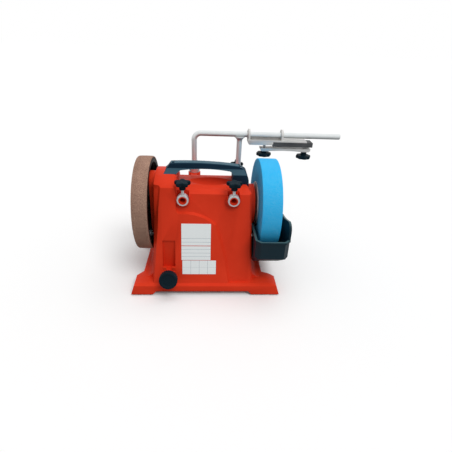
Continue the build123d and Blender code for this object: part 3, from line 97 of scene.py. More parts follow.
class Wire:
    """A shader socket that can be used in Python expressions."""

    def __init__(self, graph: "Graph", socket: bpy.types.NodeSocket) -> None:
        """Keep the socket and the graph it belongs to."""
        self.graph = graph
        self.socket = socket

    def __add__(self, other: "Value") -> "Wire":
        """Return self + other."""
        return self.graph.math("ADD", self, other)

    def __radd__(self, other: "Value") -> "Wire":
        """Return other + self."""
        return self.graph.math("ADD", other, self)

    def __sub__(self, other: "Value") -> "Wire":
        """Return self - other."""
        return self.graph.math("SUBTRACT", self, other)

    def __rsub__(self, other: "Value") -> "Wire":
        """Return other - self."""
        return self.graph.math("SUBTRACT", other, self)

    def __mul__(self, other: "Value") -> "Wire":
        """Return self * other."""
        return self.graph.math("MULTIPLY", self, other)

    def __rmul__(self, other: "Value") -> "Wire":
        """Return other * self."""
        return self.graph.math("MULTIPLY", other, self)

    def __gt__(self, other: "Value") -> "Wire":
        """Return 1 where self is over other, else 0."""
        return self.graph.math("GREATER_THAN", self, other)

    def __lt__(self, other: "Value") -> "Wire":
        """Return 1 where self is under other, else 0."""
        return self.graph.math("LESS_THAN", self, other)

    def __abs__(self) -> "Wire":
        """Return the size of self without its sign."""
        return self.graph.math("ABSOLUTE", self, 0.0)


Value = Union[float, Wire]


class Graph:
    """The node tree of one material or of the world."""

    def __init__(self, owner: Union[bpy.types.Material, bpy.types.World]) -> None:
        """Empty the node tree of a material or world."""
        owner.use_nodes = True
        self.owner = owner
        self.tree = owner.node_tree
        self.tree.nodes.clear()

    @classmethod
    def named(cls, name: str) -> "Graph":
        """Start the graph of a new material."""
        return cls(bpy.data.materials.new(name))

    def node(self, kind: str, settings: Mapping[str, Any], inputs: Mapping[Any, Any]) -> bpy.types.Node:
        """Add a node, set it up, then fill its sockets.

        Args:
            kind: The node's type, such as ShaderNodeTexNoise.
            settings: Attributes, such as a Math node's operation, set first.
            inputs: Socket names or numbers to plain values or wires.

        Returns:
            The new node.
        """
        made = self.tree.nodes.new(kind)
        for key, value in settings.items():
            setattr(made, key, value)
        for key, value in inputs.items():
            if isinstance(value, Wire):
                self.tree.links.new(value.socket, made.inputs[key])
            else:
                made.inputs[key].default_value = value
        return made

    def out(self, kind: str, settings: Mapping[str, Any], inputs: Mapping[Any, Any], port: Any = 0) -> Wire:
        """Add a node as node() does and return one of its outputs."""
        return Wire(self, self.node(kind, settings, inputs).outputs[port])

    def math(self, operation: str, first: Value, second: Value) -> Wire:
        """Return a Math node's result for two values."""
        return self.out("ShaderNodeMath", {"operation": operation}, {0: first, 1: second})

    def place(self, port: str = "Object") -> Wire:
        """Return texture coordinates of the piece."""
        return self.out("ShaderNodeTexCoord", {}, {}, port)

    def mapped(self, name: str) -> Wire:
        """Return X or Y of the piece's own map."""
        return self.out("ShaderNodeSeparateXYZ", {}, {0: self.place("UV")}, name)

    def upward(self) -> Wire:
        """Return how far a face of the piece looks up: 1 up, 0 sideways and -1 down."""
        return self.out("ShaderNodeAttribute", {"attribute_name": FACES_UP}, {}, "Fac")

    def stretched(self, scale: Sequence[float]) -> Wire:
        """Return object coordinates scaled by three factors."""
        return self.out("ShaderNodeMapping", {}, {"Vector": self.place(), "Scale": tuple(scale)})

    def noise(
        self, scale: float, detail: float = 3.0, rough: float = 0.55, vector: Optional[Wire] = None
    ) -> Wire:
        """Return cloudy noise from 0 to 1.

        Args:
            scale: Waves a metre.
            detail: How many times finer waves are added.
            rough: How strong each finer wave is beside the one before.
            vector: Where it is read, or None for plain object coordinates.

        Returns:
            The noise.
        """
        place = vector if vector is not None else self.place()
        inputs = {"Vector": place, "Scale": scale, "Detail": detail, "Roughness": rough}
        return self.out("ShaderNodeTexNoise", {}, inputs)

    def cells(self, scale: float, port: str = "Distance") -> Wire:
        """Return a cell pattern with so many cells a metre."""
        return self.out("ShaderNodeTexVoronoi", {}, {"Vector": self.place(), "Scale": scale}, port)

    def ramp(self, value: Wire, low: float, high: float) -> Wire:
        """Return 0 under low, 1 over high and a straight line between."""
        return self.out("ShaderNodeMapRange", {}, {"Value": value, "From Min": low, "From Max": high})

    def mix(self, share: Value, first: Any, second: Any) -> Wire:
        """Return a colour between two colours.

        Args:
            share: How much of the second colour shows, from 0 to 1.
            first: A colour or a wire.
            second: A colour or a wire.

        Returns:
            The mixed colour.
        """
        def full(colour: Any) -> Any:
            """Return a colour with its alpha, or the wire as it is."""
            return colour if isinstance(colour, Wire) else (*colour, 1.0)

        settings = {"data_type": "RGBA"}
        return self.out("ShaderNodeMix", settings, {0: share, 6: full(first), 7: full(second)}, 2)

    def bump(self, height: Wire, strength: float, depth: float) -> Wire:
        """Return a normal with that relief, depth in metres."""
        return self.out("ShaderNodeBump", {}, {"Height": height, "Strength": strength, "Distance": depth})

    def surface(self, inputs: Mapping[str, Any]) -> bpy.types.Material:
        """Close the graph with one surface shader.

        Args:
            inputs: Sockets of the shader to plain values or wires.

        Returns:
            The finished material.
        """
        ready = {k: (*v, 1.0) if isinstance(v, tuple) and len(v) == 3 else v for k, v in inputs.items()}
        shader = self.out("ShaderNodeBsdfPrincipled", {}, ready)
        self.node("ShaderNodeOutputMaterial", {}, {"Surface": shader})
        return self.owner


@dataclass(frozen=True)
class MouldedPlastic:
    """Injection moulded plastic with a fine spark-eroded grain, slight flow marks and scuffs.

    The grain, flow and scuff are in waves a metre and the relief in metres. A painted top light, a paler
    colour in place of light from above, lies on faces that look up: none at the first value of its range, its
    full share at the second.
    """

    name: str
    colour: Colour
    deep: Colour
    roughness: float = 0.42
    gloss: float = 0.3
    grain: float = 1100.0
    relief: float = 0.00009
    flow: float = 26.0
    flow_share: float = 0.55
    scuff: float = 90.0
    scuff_stretch: tuple[float, float, float] = (1.0, 1.0, 5.0)
    top_light_and_dust: Colour = (0.0, 0.0, 0.0)
    top_light_share: float = 0.0
    top_light_range: tuple[float, float] = (0.7, 0.98)

    def material(self) -> bpy.types.Material:
        """Return the finish as a material."""
        g = Graph.named(self.name)
        flow = g.ramp(g.noise(self.flow, 4.0), 0.3, 0.75)
        grain = g.noise(self.grain, 2.0, 0.5)
        scuffs = g.ramp(g.noise(self.scuff, 6.0, 0.7, g.stretched(self.scuff_stretch)), 0.62, 0.8)
        base = g.mix(flow * self.flow_share, self.colour, self.deep)
        # painted top light: a paler colour mixed in on faces that look up, in place of light from above
        if self.top_light_share > 0:
            base = g.mix(g.ramp(g.upward(), *self.top_light_range) * self.top_light_share, base, self.top_light_and_dust)
        rough = self.roughness - 0.06 + flow * 0.08 + grain * 0.06 + scuffs * 0.10
        return g.surface({
            "Base Color": base, "Roughness": rough, "Normal": g.bump(grain, 0.35, self.relief),
            "Specular IOR Level": self.gloss,
        })


@dataclass(frozen=True)
class BrightSteel:
    """Polished or drawn steel with smears and with faint rub marks along one axis.

    The rub and smear are in waves a metre and the relief in metres. The painted shade is the share of a dark
    room
    colour painted on faces that look down: none at the first value of its range, all at the second.
    """

    name: str
    colour: Colour
    dull: Colour
    roughness: float
    streak: tuple[float, float, float]
    marks: float = 0.10
    metal: float = 1.0
    painted_shade: float = 0.0
    painted_shade_range: tuple[float, float] = (0.1, 0.9)
    # colour of the painted shade and painted dark reflection on faces that look down
    room: Colour = paint(60, 61, 62)
    rub: float = 400.0
    smear: float = 34.0
    relief: float = 0.00004

    def material(self) -> bpy.types.Material:
        """Return the finish as a material."""
        g = Graph.named(self.name)
        lines = g.noise(self.rub, 3.0, 0.6, g.stretched(self.streak))
        smear = g.ramp(g.noise(self.smear, 4.0), 0.35, 0.8)
        base = g.mix(smear * 0.5 + lines * 0.25, self.colour, self.dull)
        # painted shade: a dark colour mixed in on faces that look down, in place of shade and a dark
        # reflection
        if self.painted_shade > 0:
            base = g.mix(g.ramp(0.0 - g.upward(), *self.painted_shade_range) * self.painted_shade, base, self.room)
        rough = self.roughness + smear * self.marks + lines * self.marks * 0.6
        return g.surface({
            "Base Color": base, "Metallic": self.metal, "Roughness": rough,
            "Normal": g.bump(lines, 0.12, self.relief),
        })


@dataclass(frozen=True)
class BondedStone:
    """Blue bonded grit: dense pores and pale and dark grains.

    The grit is in cells a metre, the patches and pores in waves a metre and the relief in metres.
    """

    name: str
    colour: Colour
    pale: Colour
    dark: Colour
    grit: float = 1900.0
    patch: float = 38.0
    pore: float = 900.0
    relief: float = 0.00022

    def material(self) -> bpy.types.Material:
        """Return the finish as a material."""
        g = Graph.named(self.name)
        grains = g.cells(self.grit, "Distance")
        tint = g.out("ShaderNodeSeparateColor", {}, {0: g.cells(self.grit, "Color")}, 0)
        patch = g.ramp(g.noise(self.patch, 5.0, 0.6), 0.3, 0.75)
        base = g.mix(g.ramp(tint, 0.78, 0.97) * 0.55, self.colour, self.pale)
        base = g.mix(g.ramp(1.0 - tint, 0.80, 0.98) * 0.55, base, self.dark)
        base = g.mix(patch * 0.2, base, self.dark)
        pores = g.noise(self.pore, 4.0, 0.7)
        return g.surface({
            "Base Color": base, "Roughness": 0.70 + pores * 0.15, "Specular IOR Level": 0.6,
            "Normal": g.bump(grains * 0.5 + pores, 0.5, self.relief),
        })


@dataclass(frozen=True)
class RawLeather:
    """Undyed honing leather with a fibrous nap and darker rubbed bands.

    The fibres, bands and patches are in waves a metre, the pits in cells a metre and the relief in metres.
    """

    name: str
    colour: Colour
    pale: Colour
    worn: Colour
    fibre: float = 650.0
    pit: float = 520.0
    band: float = 14.0
    band_stretch: tuple[float, float, float] = (9.0, 1.0, 1.0)
    patch: float = 30.0
    relief: float = 0.00025

    def material(self) -> bpy.types.Material:
        """Return the finish as a material."""
        g = Graph.named(self.name)
        fibres = g.noise(self.fibre, 5.0, 0.65)
        pits = g.ramp(g.cells(self.pit), 0.1, 0.5)
        bands = g.noise(self.band, 3.0, 0.5, g.stretched(self.band_stretch))
        patch = g.ramp(g.noise(self.patch, 4.0), 0.35, 0.7)
        base = g.mix(g.ramp(fibres, 0.35, 0.65), self.colour, self.pale)
        base = g.mix(patch * 0.3 + g.ramp(bands, 0.5, 0.75) * 0.2, base, self.worn)
        return g.surface({
            "Base Color": base, "Roughness": 0.78 + fibres * 0.16, "Specular IOR Level": 0.2,
            "Normal": g.bump(fibres + pits * 0.4, 0.5, self.relief),
        })


@dataclass(frozen=True)
class SoftRubber:
    """Matte rubber with a dusty bloom, the dust and specks in waves a metre and the relief in metres."""

    name: str
    colour: Colour
    top_light_and_dust: Colour
    dust: float = 60.0
    speck: float = 1400.0
    relief: float = 0.0001

    def material(self) -> bpy.types.Material:
        """Return the finish as a material."""
        g = Graph.named(self.name)
        dust = g.ramp(g.noise(self.dust, 5.0, 0.65), 0.4, 0.8)
        speck = g.noise(self.speck, 2.0)
        return g.surface({
            "Base Color": g.mix(dust * 0.5, self.colour, self.top_light_and_dust), "Roughness": 0.72 + speck * 0.18,
            "Normal": g.bump(speck, 0.3, self.relief), "Specular IOR Level": 0.3,
        })


@dataclass(frozen=True)
class LabelPaper:
    """A blank white data plate with thin ruled fields, drawn on its own map.

    Rows are ruled below the head and one coloured rule lies at the accent, both as shares of the height.
    """

    name: str
    rows: int
    columns: int
    head: float = 1.0
    accent: float = -1.0
    rule_half: float = 0.0045
    accent_half: float = 0.011
    ink: Colour = paint(140, 156, 166)
    white: Colour = paint(250, 255, 255)
    shaded: Colour = paint(232, 244, 248)
    accent_ink: Colour = paint(220, 90, 76)
    wrinkle: float = 45.0
    relief: float = 0.0004

    def material(self) -> bpy.types.Material:
        """Return the finish as a material, with rules where the map crosses a row or column."""
        g = Graph.named(self.name)
        down = g.mapped("Y") * float(self.rows)
        across = g.mapped("X") * float(self.columns)
        rule_down = abs(g.math("FRACT", down + 0.5, 0.0) - 0.5) < self.rule_half * self.rows
        rule_across = abs(g.math("FRACT", across + 0.5, 0.0) - 0.5) < self.rule_half * self.columns
        ruled = g.math("MAXIMUM", rule_down * (g.mapped("Y") < self.head), rule_across)
        accent = abs(g.mapped("Y") - self.accent) < self.accent_half
        wrinkle = g.noise(self.wrinkle)
        base = g.mix(ruled * 0.75, g.mix(wrinkle * 0.2, self.white, self.shaded), self.ink)
        base = g.mix(accent * 0.8, base, self.accent_ink)
        return g.surface({
            "Base Color": base, "Roughness": 0.34 + wrinkle * 0.14,
            "Normal": g.bump(wrinkle, 0.08, self.relief),
        })


class Finish(Enum):
    """Every finish on the machine."""

    RED = MouldedPlastic("red_housing", paint(226, 60, 32), paint(214, 52, 27), 0.46, 0.12)
    # the petrol moulding and the grip carry a painted top light, a paler colour on faces that look up
    PETROL = MouldedPlastic(
        "petrol_moulding", paint(14, 42, 53), paint(10, 34, 44), 0.40, 0.2,
        top_light_and_dust=paint(70, 100, 104), top_light_share=0.8,
    )
    GRIP = MouldedPlastic(
        "petrol_grip", paint(16, 46, 66), paint(12, 38, 55), 0.5, 0.12,
        top_light_and_dust=paint(74, 106, 120), top_light_share=0.85,
    )
    BLACK = MouldedPlastic("black_grip", paint(16, 34, 43), paint(11, 25, 33), 0.5, 0.08, 1600.0)
    DRUM = MouldedPlastic("drum_plastic", paint(24, 26, 24), paint(17, 19, 18), 0.5, 0.2, 900.0)
    SIGNAL = MouldedPlastic("green_rocker", paint(24, 120, 62), paint(18, 100, 50), 0.28, 0.4)
    # the bright bar carries painted shade on its undersides
    CHROME = BrightSteel(
        "bright_bar", paint(236, 240, 240), paint(218, 222, 222), 0.3, (0.02, 1.0, 1.0),
        metal=0.42, painted_shade=0.75,
    )
    RING = BrightSteel(
        "bright_collar", paint(220, 223, 225), paint(196, 200, 203), 0.32, (1.0, 0.05, 1.0), metal=0.6,
    )
    # the jig steel carries painted shade on its undersides
    JIG = BrightSteel(
        "jig_steel", paint(227, 225, 222), paint(199, 197, 194), 0.32, (0.05, 1.0, 1.0), 0.12,
        metal=0.4, painted_shade=0.8,
    )
    STEEL = BrightSteel(
        "turned_steel", paint(224, 225, 226), paint(196, 198, 199), 0.34, (1.0, 0.05, 0.05), metal=0.5,
    )
    JAW = BrightSteel("jaw_steel", paint(98, 99, 101), paint(66, 67, 69), 0.42, (0.04, 1.0, 1.0), 0.2)
    STONE = BondedStone("blue_stone", paint(40, 189, 247), paint(165, 226, 252), paint(14, 156, 230))
    LEATHER = RawLeather("honing_leather", paint(130, 99, 87), paint(194, 157, 136), paint(106, 79, 66))
    RUBBER = SoftRubber("black_rubber", paint(30, 30, 30), paint(58, 56, 54))
    ALLOY = BrightSteel(
        "cast_alloy", paint(180, 183, 186), paint(150, 153, 157), 0.42, (1.0, 1.0, 1.0), 0.15,
    )
    BRONZE = BrightSteel(
        "sintered_bronze", paint(176, 128, 72), paint(140, 98, 54), 0.45, (1.0, 1.0, 1.0), 0.15,
    )
    ENAMEL = MouldedPlastic("grey_enamel", paint(74, 78, 82), paint(60, 64, 68), 0.35, 0.4, 700.0)
    PLATE = LabelPaper("blank_data_plate", 10, 1, 0.66, 0.4)
    STRIP = LabelPaper("blank_strip", 2, 4)

    def made(self) -> bpy.types.Material:
        """Return this finish's material, made on first use."""
        known = bpy.data.materials.get(self.value.name)
        return known if known is not None else self.value.material()


def dress(piece: bpy.types.Object, finish: Finish) -> bpy.types.Object:
    """Give a piece one finish all over and return it."""
    piece.data.materials.clear()
    piece.data.materials.append(finish.made())
    return piece


@dataclass
class Sheet:
    """A grid of points, rows by columns by 3 in metres, whose columns close on themselves.

    With ring the last row joins the first. Otherwise each end row is closed by a fan to its middle.
    """

    points: np.ndarray
    ring: bool = False

    def faces(self, count: int) -> tuple[np.ndarray, list[list[int]]]:
        """Work out the sheet's vertices and faces.

        Args:
            count: Number of its first vertex in the mesh.

        Returns:
            The vertices, and the faces as lists of vertex numbers.
        """
        rows, columns = self.points.shape[:2]
        index = count + np.arange(rows * columns).reshape(rows, columns)
        start = index if self.ring else index[:-1]
        follow = np.roll(index, -1, axis=0) if self.ring else index[1:]
        quads = np.stack([start, np.roll(start, -1, axis=1), np.roll(follow, -1, axis=1), follow], axis=-1)
        faces = quads.reshape(-1, 4).tolist()
        vertices = self.points.reshape(-1, 3)
        if not self.ring:
            first = np.full(columns, count + len(vertices))
            vertices = np.vstack([vertices, self.points[0].mean(axis=0), self.points[-1].mean(axis=0)])
            faces += np.stack([np.roll(index[0], -1), index[0], first], axis=-1).tolist()
            faces += np.stack([index[-1], np.roll(index[-1], -1), first + 1], axis=-1).tolist()
        return vertices, faces


def surface(name: str, *sheets: Sheet) -> bpy.types.Object:
    """Make one mesh from closed sheets.

    Args:
        name: The piece's name.
        sheets: The sheets, in metres.

    Returns:
        The new object, at the origin.
    """
    vertices: list[np.ndarray] = []
    faces: list[list[int]] = []
    count = 0
    for sheet in sheets:
        points, sheet_faces = sheet.faces(count)
        vertices.append(points)
        faces += sheet_faces
        count += len(points)
    mesh = bpy.data.meshes.new(name)
    mesh.from_pydata(np.vstack(vertices).tolist(), [], faces)
    mesh.update()
    piece = bpy.data.objects.new(name, mesh)
    bpy.context.scene.collection.objects.link(piece)
    return outward(piece)


def corners_of(mesh: bpy.types.Mesh) -> np.ndarray:
    """Return a mesh's vertices in millimetres, as an array of points by 3."""
    flat = np.empty(len(mesh.vertices) * 3, dtype=np.float32)
    mesh.vertices.foreach_get("co", flat)
    return flat.reshape(-1, 3).astype(float) / MM


def outward(piece: bpy.types.Object, angle: float = 38.0) -> bpy.types.Object:
    """Turn a closed mesh's faces outwards and smooth it up to an angle in degrees."""
    work = bmesh.new()
    work.from_mesh(piece.data)
    bmesh.ops.recalc_face_normals(work, faces=work.faces)
    work.to_mesh(piece.data)
    work.free()
    piece.data.polygons.foreach_set("use_smooth", np.ones(len(piece.data.polygons), dtype=bool))
    piece.data.set_sharp_from_angle(angle=math.radians(angle))
    return piece


def rounded(corners: Sequence[tuple[float, float]], radii: Sequence[float], steps: int = 7) -> np.ndarray:
    """Round the corners of a polygon or of an open line.

    Each corner is replaced by points on the quadratic curve that is tangent to both of its sides, from a
    distance of the corner's radius before it to the same distance after it. A radius of 0 keeps the corner.

    Args:
        corners: Points in order.
        radii: Distance of the curve's ends from each corner.
        steps: Points for each corner.

    Returns:
        Array of points by 2.
    """
    middle = np.asarray(corners, dtype=float)
    before, after = np.roll(middle, 1, axis=0), np.roll(middle, -1, axis=0)
    reach = np.asarray(radii, dtype=float)[:, None]
    enter = middle + (before - middle) / np.linalg.norm(before - middle, axis=1, keepdims=True) * reach
    leave = middle + (after - middle) / np.linalg.norm(after - middle, axis=1, keepdims=True) * reach
    t = np.linspace(0.0, 1.0, steps)[None, :, None]
    curve = enter[:, None] * (1 - t) ** 2 + 2 * middle[:, None] * t * (1 - t) + leave[:, None] * t**2
    keep = np.repeat(reach > 0, steps, axis=1)
    keep[:, 0] = True
    return curve[keep]


Wave = Callable[[np.ndarray, np.ndarray], np.ndarray]


@dataclass(frozen=True)
class Lathe:
    """An axis to turn profiles about, in millimetres, with the direction that angles start from."""

    origin: tuple[float, float, float]
    axis: tuple[float, float, float]
    start: tuple[float, float, float]
    columns: int = 192

    def turn(self, profile: np.ndarray, wave: Optional[Wave] = None, ring: bool = False) -> Sheet:
        """Turn a profile about the axis.

        A point is origin + axis * along + (start * cos a + side * sin a) * radius * wave(a, radius), where
        side stands square to the axis and to start.

        Args:
            profile: Array of points by 2: distance along the axis and radius, in millimetres.
            wave: Factor on the radius for each angle and radius, or None for a plain round.
            ring: True if the profile is closed, as for a tyre.

        Returns:
            The turned sheet.
        """
        ahead = np.array(self.axis) / np.linalg.norm(self.axis)
        start = np.array(self.start)
        side = np.cross(ahead, start)
        angle = np.linspace(0.0, 2 * math.pi, self.columns, endpoint=False)[None, :]
        along, radius = profile[:, 0:1], profile[:, 1:2]
        reach = radius * (np.ones_like(angle) if wave is None else wave(angle, radius))
        round_about = np.cos(angle)[..., None] * start + np.sin(angle)[..., None] * side
        points = np.array(self.origin) + along[..., None] * ahead + reach[..., None] * round_about
        return Sheet(points * MM, ring)


AXLE = Lathe((0.0, 0.0, AXLE_Z), (1.0, 0.0, 0.0), (0.0, 0.0, 1.0), columns=256)


def eased(value: np.ndarray, low: float, high: float) -> np.ndarray:
    """Return a smooth step from 0 at low to 1 at high: 3 t^2 - 2 t^3."""
    t = np.clip((value - low) / (high - low), 0.0, 1.0)
    return t * t * (3 - 2 * t)


def finished(piece: bpy.types.Object, node: str, finish: Finish) -> bpy.types.Object:
    """Note which faces look up, dress the piece, and let it stand for a CAD node and ride on its body.

    Args:
        piece: The piece.
        node: The CAD node that it stands for.
        finish: What it is made of.

    Returns:
        The piece.
    """
    normals = np.empty(len(piece.data.polygons) * 3, dtype=np.float32)
    piece.data.polygons.foreach_get("normal", normals)
    piece.data.attributes.new(FACES_UP, "FLOAT", "FACE").data.foreach_set("value", normals[2::3].copy())
    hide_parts(node)
    dress(piece, finish)
    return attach(piece, frame["nodes"][node]["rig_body"])


def softened(node: str, finish: Finish, width: float, angle: float = 24.0) -> bpy.types.Object:
    """Copy a CAD node with small rounds on its edges, and let the copy stand for it.

    Args:
        node: The CAD node.
        finish: What it is made of.
        width: Size of the rounds in millimetres, or 0 to shade its curves smoothly and no more.
        angle: Edges sharper than this many degrees are rounded.

    Returns:
        The copy, riding on the node's body.
    """
    work = bmesh.new()
    work.from_mesh(frame["nodes"][node].data)
    bmesh.ops.remove_doubles(work, verts=work.verts, dist=WELD)
    bmesh.ops.dissolve_limit(work, angle_limit=FLAT, verts=work.verts, edges=work.edges)
    mesh = bpy.data.meshes.new(node + "_soft")
    work.to_mesh(mesh)
    work.free()
    piece = bpy.data.objects.new(node + "_soft", mesh)
    bpy.context.scene.collection.objects.link(piece)
    mesh.polygons.foreach_set("use_smooth", np.ones(len(mesh.polygons), dtype=bool))
    if width > 0:
        bevel = piece.modifiers.new("round_edges", "BEVEL")
        bevel.width = width * MM
        bevel.segments = ROUND_STEPS
        bevel.limit_method = "ANGLE"
        bevel.angle_limit = math.radians(angle)
        bevel.use_clamp_overlap = True
        bevel.miter_outer = "MITER_ARC"
        bevel.harden_normals = True
    else:
        mesh.set_sharp_from_angle(angle=math.radians(angle))
    return finished(piece, node, finish)


@dataclass
class DataPlates:
    """Blank plates glued on the raised front panel."""

    foot_y: float = -106.0
    foot_z: float = 25.0
    thickness: float = 0.35
    glue: float = 0.02
    bevel: float = 0.15
    steps: int = 8
    upper: tuple[float, float, float, float] = (-51.5, 8.7, 52.0, 130.0)
    lower: tuple[float, float, float, float] = (-49.8, 20.3, 20.6, 51.2)

    def plate(self, name: str, box: tuple[float, float, float, float], finish: Finish) -> bpy.types.Object:
        """Make one plate: rectangular loops from its back up to its bevelled rim, closed at both ends.

        A point of a loop lies at x and u on the leaning face and is lifted from it by r, so that
        y = foot_y + u sin a - r cos a and z = foot_z + u cos a + r sin a, where a is the face's lean.

        Args:
            name: The piece's name.
            box: Left, right, low and high edges on the face, in millimetres.
            finish: Its paper.

        Returns:
            The plate, riding on the machine.
        """
        left, right, low, high = box
        side = np.linspace(0.0, 1.0, self.steps, endpoint=False)
        across = np.concatenate([side, np.ones_like(side), 1 - side, np.zeros_like(side)])
        upward = np.roll(across, self.steps)
        inset = np.array([0.0, 0.0, self.bevel])[:, None]
        rise = np.array([self.glue, self.thickness - self.bevel, self.thickness])[:, None]
        x = left + inset + (right - left - 2 * inset) * across
        u = low + inset + (high - low - 2 * inset) * upward
        y = self.foot_y + u * math.sin(LEAN) - rise * math.cos(LEAN)
        z = self.foot_z + u * math.cos(LEAN) + rise * math.sin(LEAN)
        piece = surface(name, Sheet(np.stack([x, y, z], axis=-1) * MM))
        x, y, z = corners_of(piece.data).T
        u = (y - self.foot_y) * math.sin(LEAN) + (z - self.foot_z) * math.cos(LEAN)
        chart = np.column_stack([(x - left) / (right - left), (u - low) / (high - low)])
        owners = np.empty(len(piece.data.loops), dtype=np.int32)
        piece.data.loops.foreach_get("vertex_index", owners)
        layer = piece.data.uv_layers.new(name="plate_map")
        layer.data.foreach_set("uv", chart[owners].astype(np.float32).ravel())
        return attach(dress(piece, finish), "machine")

    def build(self) -> list[bpy.types.Object]:
        """Make both plates."""
        return [
            self.plate("data_plate", self.upper, Finish.PLATE),
            self.plate("lower_strip", self.lower, Finish.STRIP),
        ]


@dataclass
class Wheels:
    """Grindstone and leather tyre on the one axle."""

    stone_left: float = 107.5
    stone_right: float = 147.5
    stone_r: float = 100.0
    stone_edge: float = 1.8
    stone_bore_edge: float = 0.3
    hone_left: float = -144.0
    hone_right: float = -114.0
    drum_r: float = 97.0
    leather_t: float = 3.0
    leather_glue: float = 0.02
    leather_crown: float = 0.35
    leather_edge: float = 0.9
    leather_power: int = 14
    leather_steps: int = 15
    bore_r: float = 6.05

    def stone(self) -> bpy.types.Object:
        """Turn the stone: a rectangle with worn round corners, carried round the axle."""
        left, right, r = self.stone_left, self.stone_right, self.stone_r
        corners = [(left, self.bore_r), (left, r), (right, r), (right, self.bore_r)]
        edges = [self.stone_bore_edge, self.stone_edge, self.stone_edge, self.stone_bore_edge]
        piece = surface("stone_surface", AXLE.turn(rounded(corners, edges), ring=True))
        return finished(piece, "grindstone", Finish.STONE)

    def tyre(self) -> bpy.types.Object:
        """Turn the leather with a slight crown and soft cut edges: r - crown * s^2 - edge * |s|^14.

        Here s runs from -1 to 1 across the tyre.

        Returns:
            The tyre, riding on the spindle.
        """
        left, right = self.hone_left, self.hone_right
        across = np.linspace(left, right, self.leather_steps)
        s = (across - left) / (right - left) * 2 - 1
        worn = self.leather_crown * s**2 + self.leather_edge * np.abs(s) ** self.leather_power
        top = self.drum_r + self.leather_t - worn
        inside = self.drum_r + self.leather_glue
        profile = np.vstack([np.column_stack([across, top]), [[right, inside], [left, inside]]])
        piece = surface("leather_surface", AXLE.turn(profile, ring=True))
        return finished(piece, "leather_tyre", Finish.LEATHER)

    def build(self) -> list[bpy.types.Object]:
        """Make the wheels' surfaces."""
        return [self.stone(), self.tyre()]


@dataclass
class SupportBar:
    """The bent tool support bar with its welded second leg."""

    bar_r: float = 6.0
    left_x: float = LEG_XS[0]
    right_x: float = LEG_XS[1]
    end_x: float = 299.5
    y: float = BAR_Y
    foot_z: float = 103.0
    bar_z: float = 297.6
    bend_r: float = 15.0
    edge: float = 1.0
    edge_run: float = 0.001
    bead: float = 7.5
    bead_fall: float = 3.0
    bead_run: float = 14.0
    bead_most: float = 5.5
    bead_sink: float = 1.5
    fine_run: float = 30.0
    fine_step: float = 1.0
    leg_rows: int = 24
    bend_rows: int = 25
    run_rows: int = 40
    plain_rows: int = 20
    bead_rows: int = 28

    def tube(self, path: np.ndarray, radius: np.ndarray, columns: int = 64) -> Sheet:
        """Carry a circle along a path in the plane of the bar.

        A point is path + (normal * cos a + Y * sin a) * radius, where the normal stands square to the path.

        Args:
            path: Array of points by 2, x and z in millimetres.
            radius: The circle's radius at each point.
            columns: Points round the bar.

        Returns:
            The tube, closed at both ends.
        """
        along = np.gradient(path, axis=0)
        along /= np.linalg.norm(along, axis=1, keepdims=True)
        angle = np.linspace(0.0, 2 * math.pi, columns, endpoint=False)[None, :]
        x = path[:, 0:1] - along[:, 1:2] * np.cos(angle) * radius[:, None]
        z = path[:, 1:2] + along[:, 0:1] * np.cos(angle) * radius[:, None]
        y = self.y + np.sin(angle) * radius[:, None]
        return Sheet(np.stack([x, y, z], axis=-1) * MM)

    def bent_bar(self) -> Sheet:
        """Follow the left leg up, a quarter turn and the long bar to its bevelled end."""
        turn = np.linspace(math.pi, math.pi / 2, self.bend_rows)
        rise = np.linspace(self.foot_z, self.bar_z - self.bend_r, self.leg_rows)[:-1]
        run = np.linspace(self.left_x + self.bend_r, self.end_x, self.run_rows)[1:]
        centre = np.array([self.left_x + self.bend_r, self.bar_z - self.bend_r])
        bend = centre + self.bend_r * np.column_stack([np.cos(turn), np.sin(turn)])
        lead = np.array([[self.left_x, self.foot_z - self.edge_run]])
        tail = np.array([[self.end_x - self.edge, self.bar_z], [self.end_x, self.bar_z]])
        path = np.vstack([
            lead, np.column_stack([np.full_like(rise, self.left_x), rise]), bend,
            np.column_stack([run[:-1], np.full(len(run) - 1, self.bar_z)]), tail,
        ])
        radius = np.full(len(path), self.bar_r)
        radius[0] -= self.edge
        radius[-1] -= self.edge
        return self.tube(path, radius)

    def welded_leg(self) -> Sheet:
        """Follow the second leg up into the bar, with a weld bead where they meet.

        At a gap d under the bar the radius is r + bead * e^(-d / fall), eased to r at the bead's run and
        never more than r + most.

        Returns:
            The leg, closed at both ends.
        """
        under, fine = self.bar_z - self.bar_r, self.bar_z - self.fine_run
        rise = np.concatenate([
            [self.foot_z - self.edge_run], np.linspace(self.foot_z, fine, self.plain_rows),
            np.linspace(fine + self.fine_step, under + self.bead_sink, self.bead_rows),
        ])
        gap = np.maximum(under - rise, 0.0)
        radius = self.bar_r + self.bead * np.exp(-gap / self.bead_fall) * eased(-gap, -self.bead_run, 0.0)
        radius = np.minimum(radius, self.bar_r + self.bead_most)
        radius[0] -= self.edge
        return self.tube(np.column_stack([np.full_like(rise, self.right_x), rise]), radius)

    def build(self) -> list[bpy.types.Object]:
        """Make the whole bar as one piece."""
        piece = surface("support_bar", self.bent_bar(), self.welded_leg())
        return [finished(piece, "tool_support", Finish.CHROME)]


